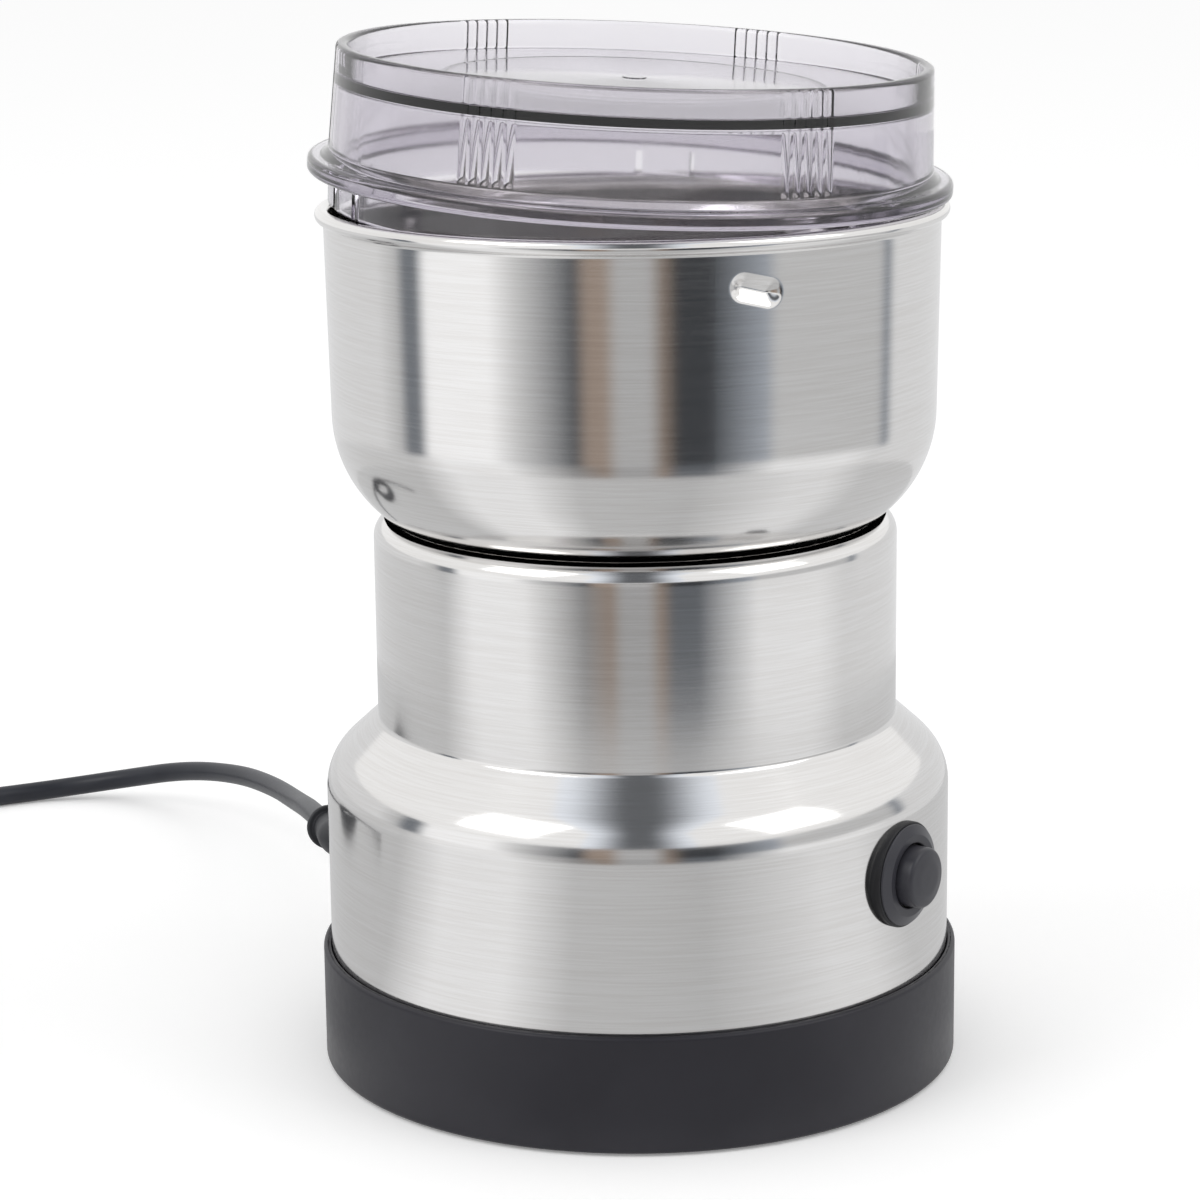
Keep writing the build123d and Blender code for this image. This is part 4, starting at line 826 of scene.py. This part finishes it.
feed(table_shader, Emission_Strength=0.20 * direct_sight(table_wire))
RING_SIDES, TABLE_R = 96, 4
angle = np.radians(whole_turn(RING_SIDES))
table_rim = np.column_stack([TABLE_R * np.cos(angle), TABLE_R * np.sin(angle), 0 * angle]).tolist()
plain_object("table", table_rim, [list(range(RING_SIDES))], table_paint)

# Each band of panels has stops of bearing in degrees, brightness and tint, with 0 at the grinder's front.
# A window stands at the left and one at the right, and between them a dark doorway with a light slit in
# its middle and a wooden post on either side of that.
SCREEN_R, SCREEN_FOOT, SCREEN_LOW, SCREEN_HIGH = 0.29, 0.001, 0.044, 0.13
SHADE_SHEET_R, SHADE_SHEET_HIGH = 0.062, 0.0008
NEUTRAL, WARM, COOL = (0.985, 0.99, 1.0), (1.2, 0.96, 0.8), (0.9, 0.98, 1.1)
PANEL_GLOW = 1.25
upper_tones = [
    (-180, 0.8, NEUTRAL), (-100, 0.8, NEUTRAL), (-90, 0.6, NEUTRAL), (-85, 0.2, COOL), (-80, 0.2, COOL),
    (-75, 1.1, NEUTRAL), (-50, 1.1, NEUTRAL), (-40, 0.7, NEUTRAL), (-20, 0.1, COOL), (-15, 0.3, WARM),
    (-10, 0.3, WARM), (-5, 0.5, NEUTRAL), (5, 0.5, NEUTRAL), (10, 0.2, WARM), (15, 0.05, COOL),
    (25, 0.05, COOL), (45, 0.4, COOL), (50, 0.6, NEUTRAL), (95, 0.6, NEUTRAL), (100, 0.3, COOL),
    (105, 0.8, NEUTRAL), (180, 0.8, NEUTRAL),
]
lower_tones = [
    (-180, 0.8, NEUTRAL), (-85, 0.65, NEUTRAL), (-70, 1.0, NEUTRAL), (-45, 1.0, NEUTRAL),
    (-20, 0.3, NEUTRAL), (-10, 0.25, WARM), (-5, 0.4, NEUTRAL), (5, 0.4, NEUTRAL), (10, 0.25, WARM),
    (15, 0.15, COOL), (25, 0.15, COOL), (50, 0.95, NEUTRAL), (80, 0.95, NEUTRAL), (95, 0.8, NEUTRAL),
    (180, 0.8, NEUTRAL),
]
# The sheet on the table is painted shade and light: shiny surfaces see the table darker in front of the
# grinder, lighter to either side and mid grey behind it.
table_shade_tones = [
    (-180, 0.65, NEUTRAL), (-85, 0.6, NEUTRAL), (-65, 0.95, NEUTRAL), (-40, 0.95, NEUTRAL),
    (-20, 0.6, NEUTRAL), (20, 0.55, NEUTRAL), (60, 0.85, NEUTRAL), (75, 0.85, NEUTRAL),
    (95, 0.65, NEUTRAL), (180, 0.65, NEUTRAL),
]


def bare_nodes(holder):
    """A first wire in the emptied nodes of a material or world."""
    holder.use_nodes = True
    holder.node_tree.nodes.clear()
    return Wire(holder.node_tree)


def show(shader, kind):
    """Lead a shader's wire to the output node of a material or world."""
    outlet = shader.tree.nodes.new("ShaderNodeOutput" + kind)
    shader.tree.links.new(shader.socket, outlet.inputs["Surface"])


def panel_paint(name, tones):
    """Glow whose brightness and tint follow the bearing from the grinder, 0 degrees at its front."""
    material = bpy.data.materials.new(name)
    lit = bare_nodes(material)
    apart = lit.add("SeparateXYZ", None, {0: lit.place()})
    bearing = apart.calc("ARCTAN2", apart, apart.beside(1) * -1.0) / (2 * np.pi) + 0.5
    colour = bearing.add("ValToRGB", {"stops": [
        (0.5 + at / 360, (*[share * grey / PANEL_GLOW for share in tint], 1.0)) for at, grey, tint in tones
    ]}, {0: bearing})
    show(colour.add("Emission", None, {"Color": colour, "Strength": PANEL_GLOW}), "Material")
    return material


def for_shine_only(panels):
    """Keep a panel out of everything but reflections."""
    panels.visible_camera = False
    panels.visible_diffuse = False
    panels.visible_transmission = False
    panels.visible_volume_scatter = False
    panels.visible_shadow = False


def studio_panels(name, near, far, material):
    """Band of panels round the grinder between two (radius, height) edges, for shiny surfaces alone."""
    rim = np.stack([np.cos(angle), np.sin(angle)], 1)
    rows = [np.column_stack([rim * radius, np.full(RING_SIDES, height)]) for radius, height in (near, far)]
    number = np.arange(RING_SIDES)
    beyond = (number + 1) % RING_SIDES
    faces = np.stack([number, number + RING_SIDES, beyond + RING_SIDES, beyond], 1)
    for_shine_only(plain_object(name, np.vstack(rows).tolist(), faces.tolist(), material))


studio_panels(
    "upper_screen", (SCREEN_R, SCREEN_LOW), (SCREEN_R, SCREEN_HIGH), panel_paint("upper_tones", upper_tones))
studio_panels(
    "lower_screen", (SCREEN_R, SCREEN_FOOT), (SCREEN_R, SCREEN_LOW), panel_paint("lower_tones", lower_tones))
# A grey sheet of painted shade lies flat on the table round the grinder, for shiny surfaces alone.
studio_panels("table_mat", (SHADE_SHEET_R, SHADE_SHEET_HIGH), (SCREEN_R, SHADE_SHEET_HIGH), panel_paint("table_shade_tones", table_shade_tones))

# The doorway goes on up and over the grinder as a strip that is dark along its middle.
GAP_HALF, GAP_FRONT, GAP_BACK, GAP_LOW, GAP_HIGH = 0.34, -0.9, 0.15, 0.25, 1.0
DARK_MIDDLE, DARK_HALF, DARK_GLOW = 0.01, 0.05, 0.14
gap_paint = bpy.data.materials.new("gap_tones")
gap_wire = bare_nodes(gap_paint)
across = gap_wire.add("SeparateXYZ", None, {0: gap_wire.place()})
aside = across.calc("ABSOLUTE", across - DARK_MIDDLE)
gap_glow = aside.between(DARK_HALF, GAP_HALF, DARK_GLOW, 1.0)
show(aside.add("Emission", None, {"Color": (0.93, 0.98, 1.06, 1.0), "Strength": gap_glow}), "Material")
for_shine_only(plain_object("ceiling_gap", [
    (-GAP_HALF, GAP_FRONT, GAP_LOW), (GAP_HALF, GAP_FRONT, GAP_LOW),
    (GAP_HALF, GAP_FRONT, GAP_HIGH), (-GAP_HALF, GAP_FRONT, GAP_HIGH),
    (-GAP_HALF, GAP_BACK, GAP_HIGH), (GAP_HALF, GAP_BACK, GAP_HIGH),
], [(0, 1, 2, 3), (3, 2, 5, 4)], gap_paint))


def softbox(name, place, size, watts):
    """Square lamp of a size in metres, aimed at the middle of the grinder."""
    lamp = bpy.data.lights.new(name, "AREA")
    lamp.size = size
    lamp.energy = watts
    holder = bpy.data.objects.new(name, lamp)
    away = np.array(place) - np.array(LAMP_AIM)
    away /= np.linalg.norm(away)
    level = np.cross([0, 0, 1.0], away)
    level /= np.linalg.norm(level)
    holder.matrix_world = facing(level, np.cross(away, level), away, place)
    bpy.context.scene.collection.objects.link(holder)


LAMP_AIM = (0, 0, 0.08)
softbox("lamp_left", (-1.1, -0.7, 1.3), size=0.9, watts=5.0)
softbox("lamp_right", (1.2, -0.5, 1.2), size=0.9, watts=3.5)

room = bpy.data.worlds.new("room")
sky = bare_nodes(room)
show(sky.add("Background", None, {
    "Color": (1, 1, 1, 1), "Strength": 0.8 + 0.2 * direct_sight(sky)}), "World")
bpy.context.scene.world = room

# ---- Update
# The view layer is brought up to date once every piece is in place.
bpy.context.view_layer.update()
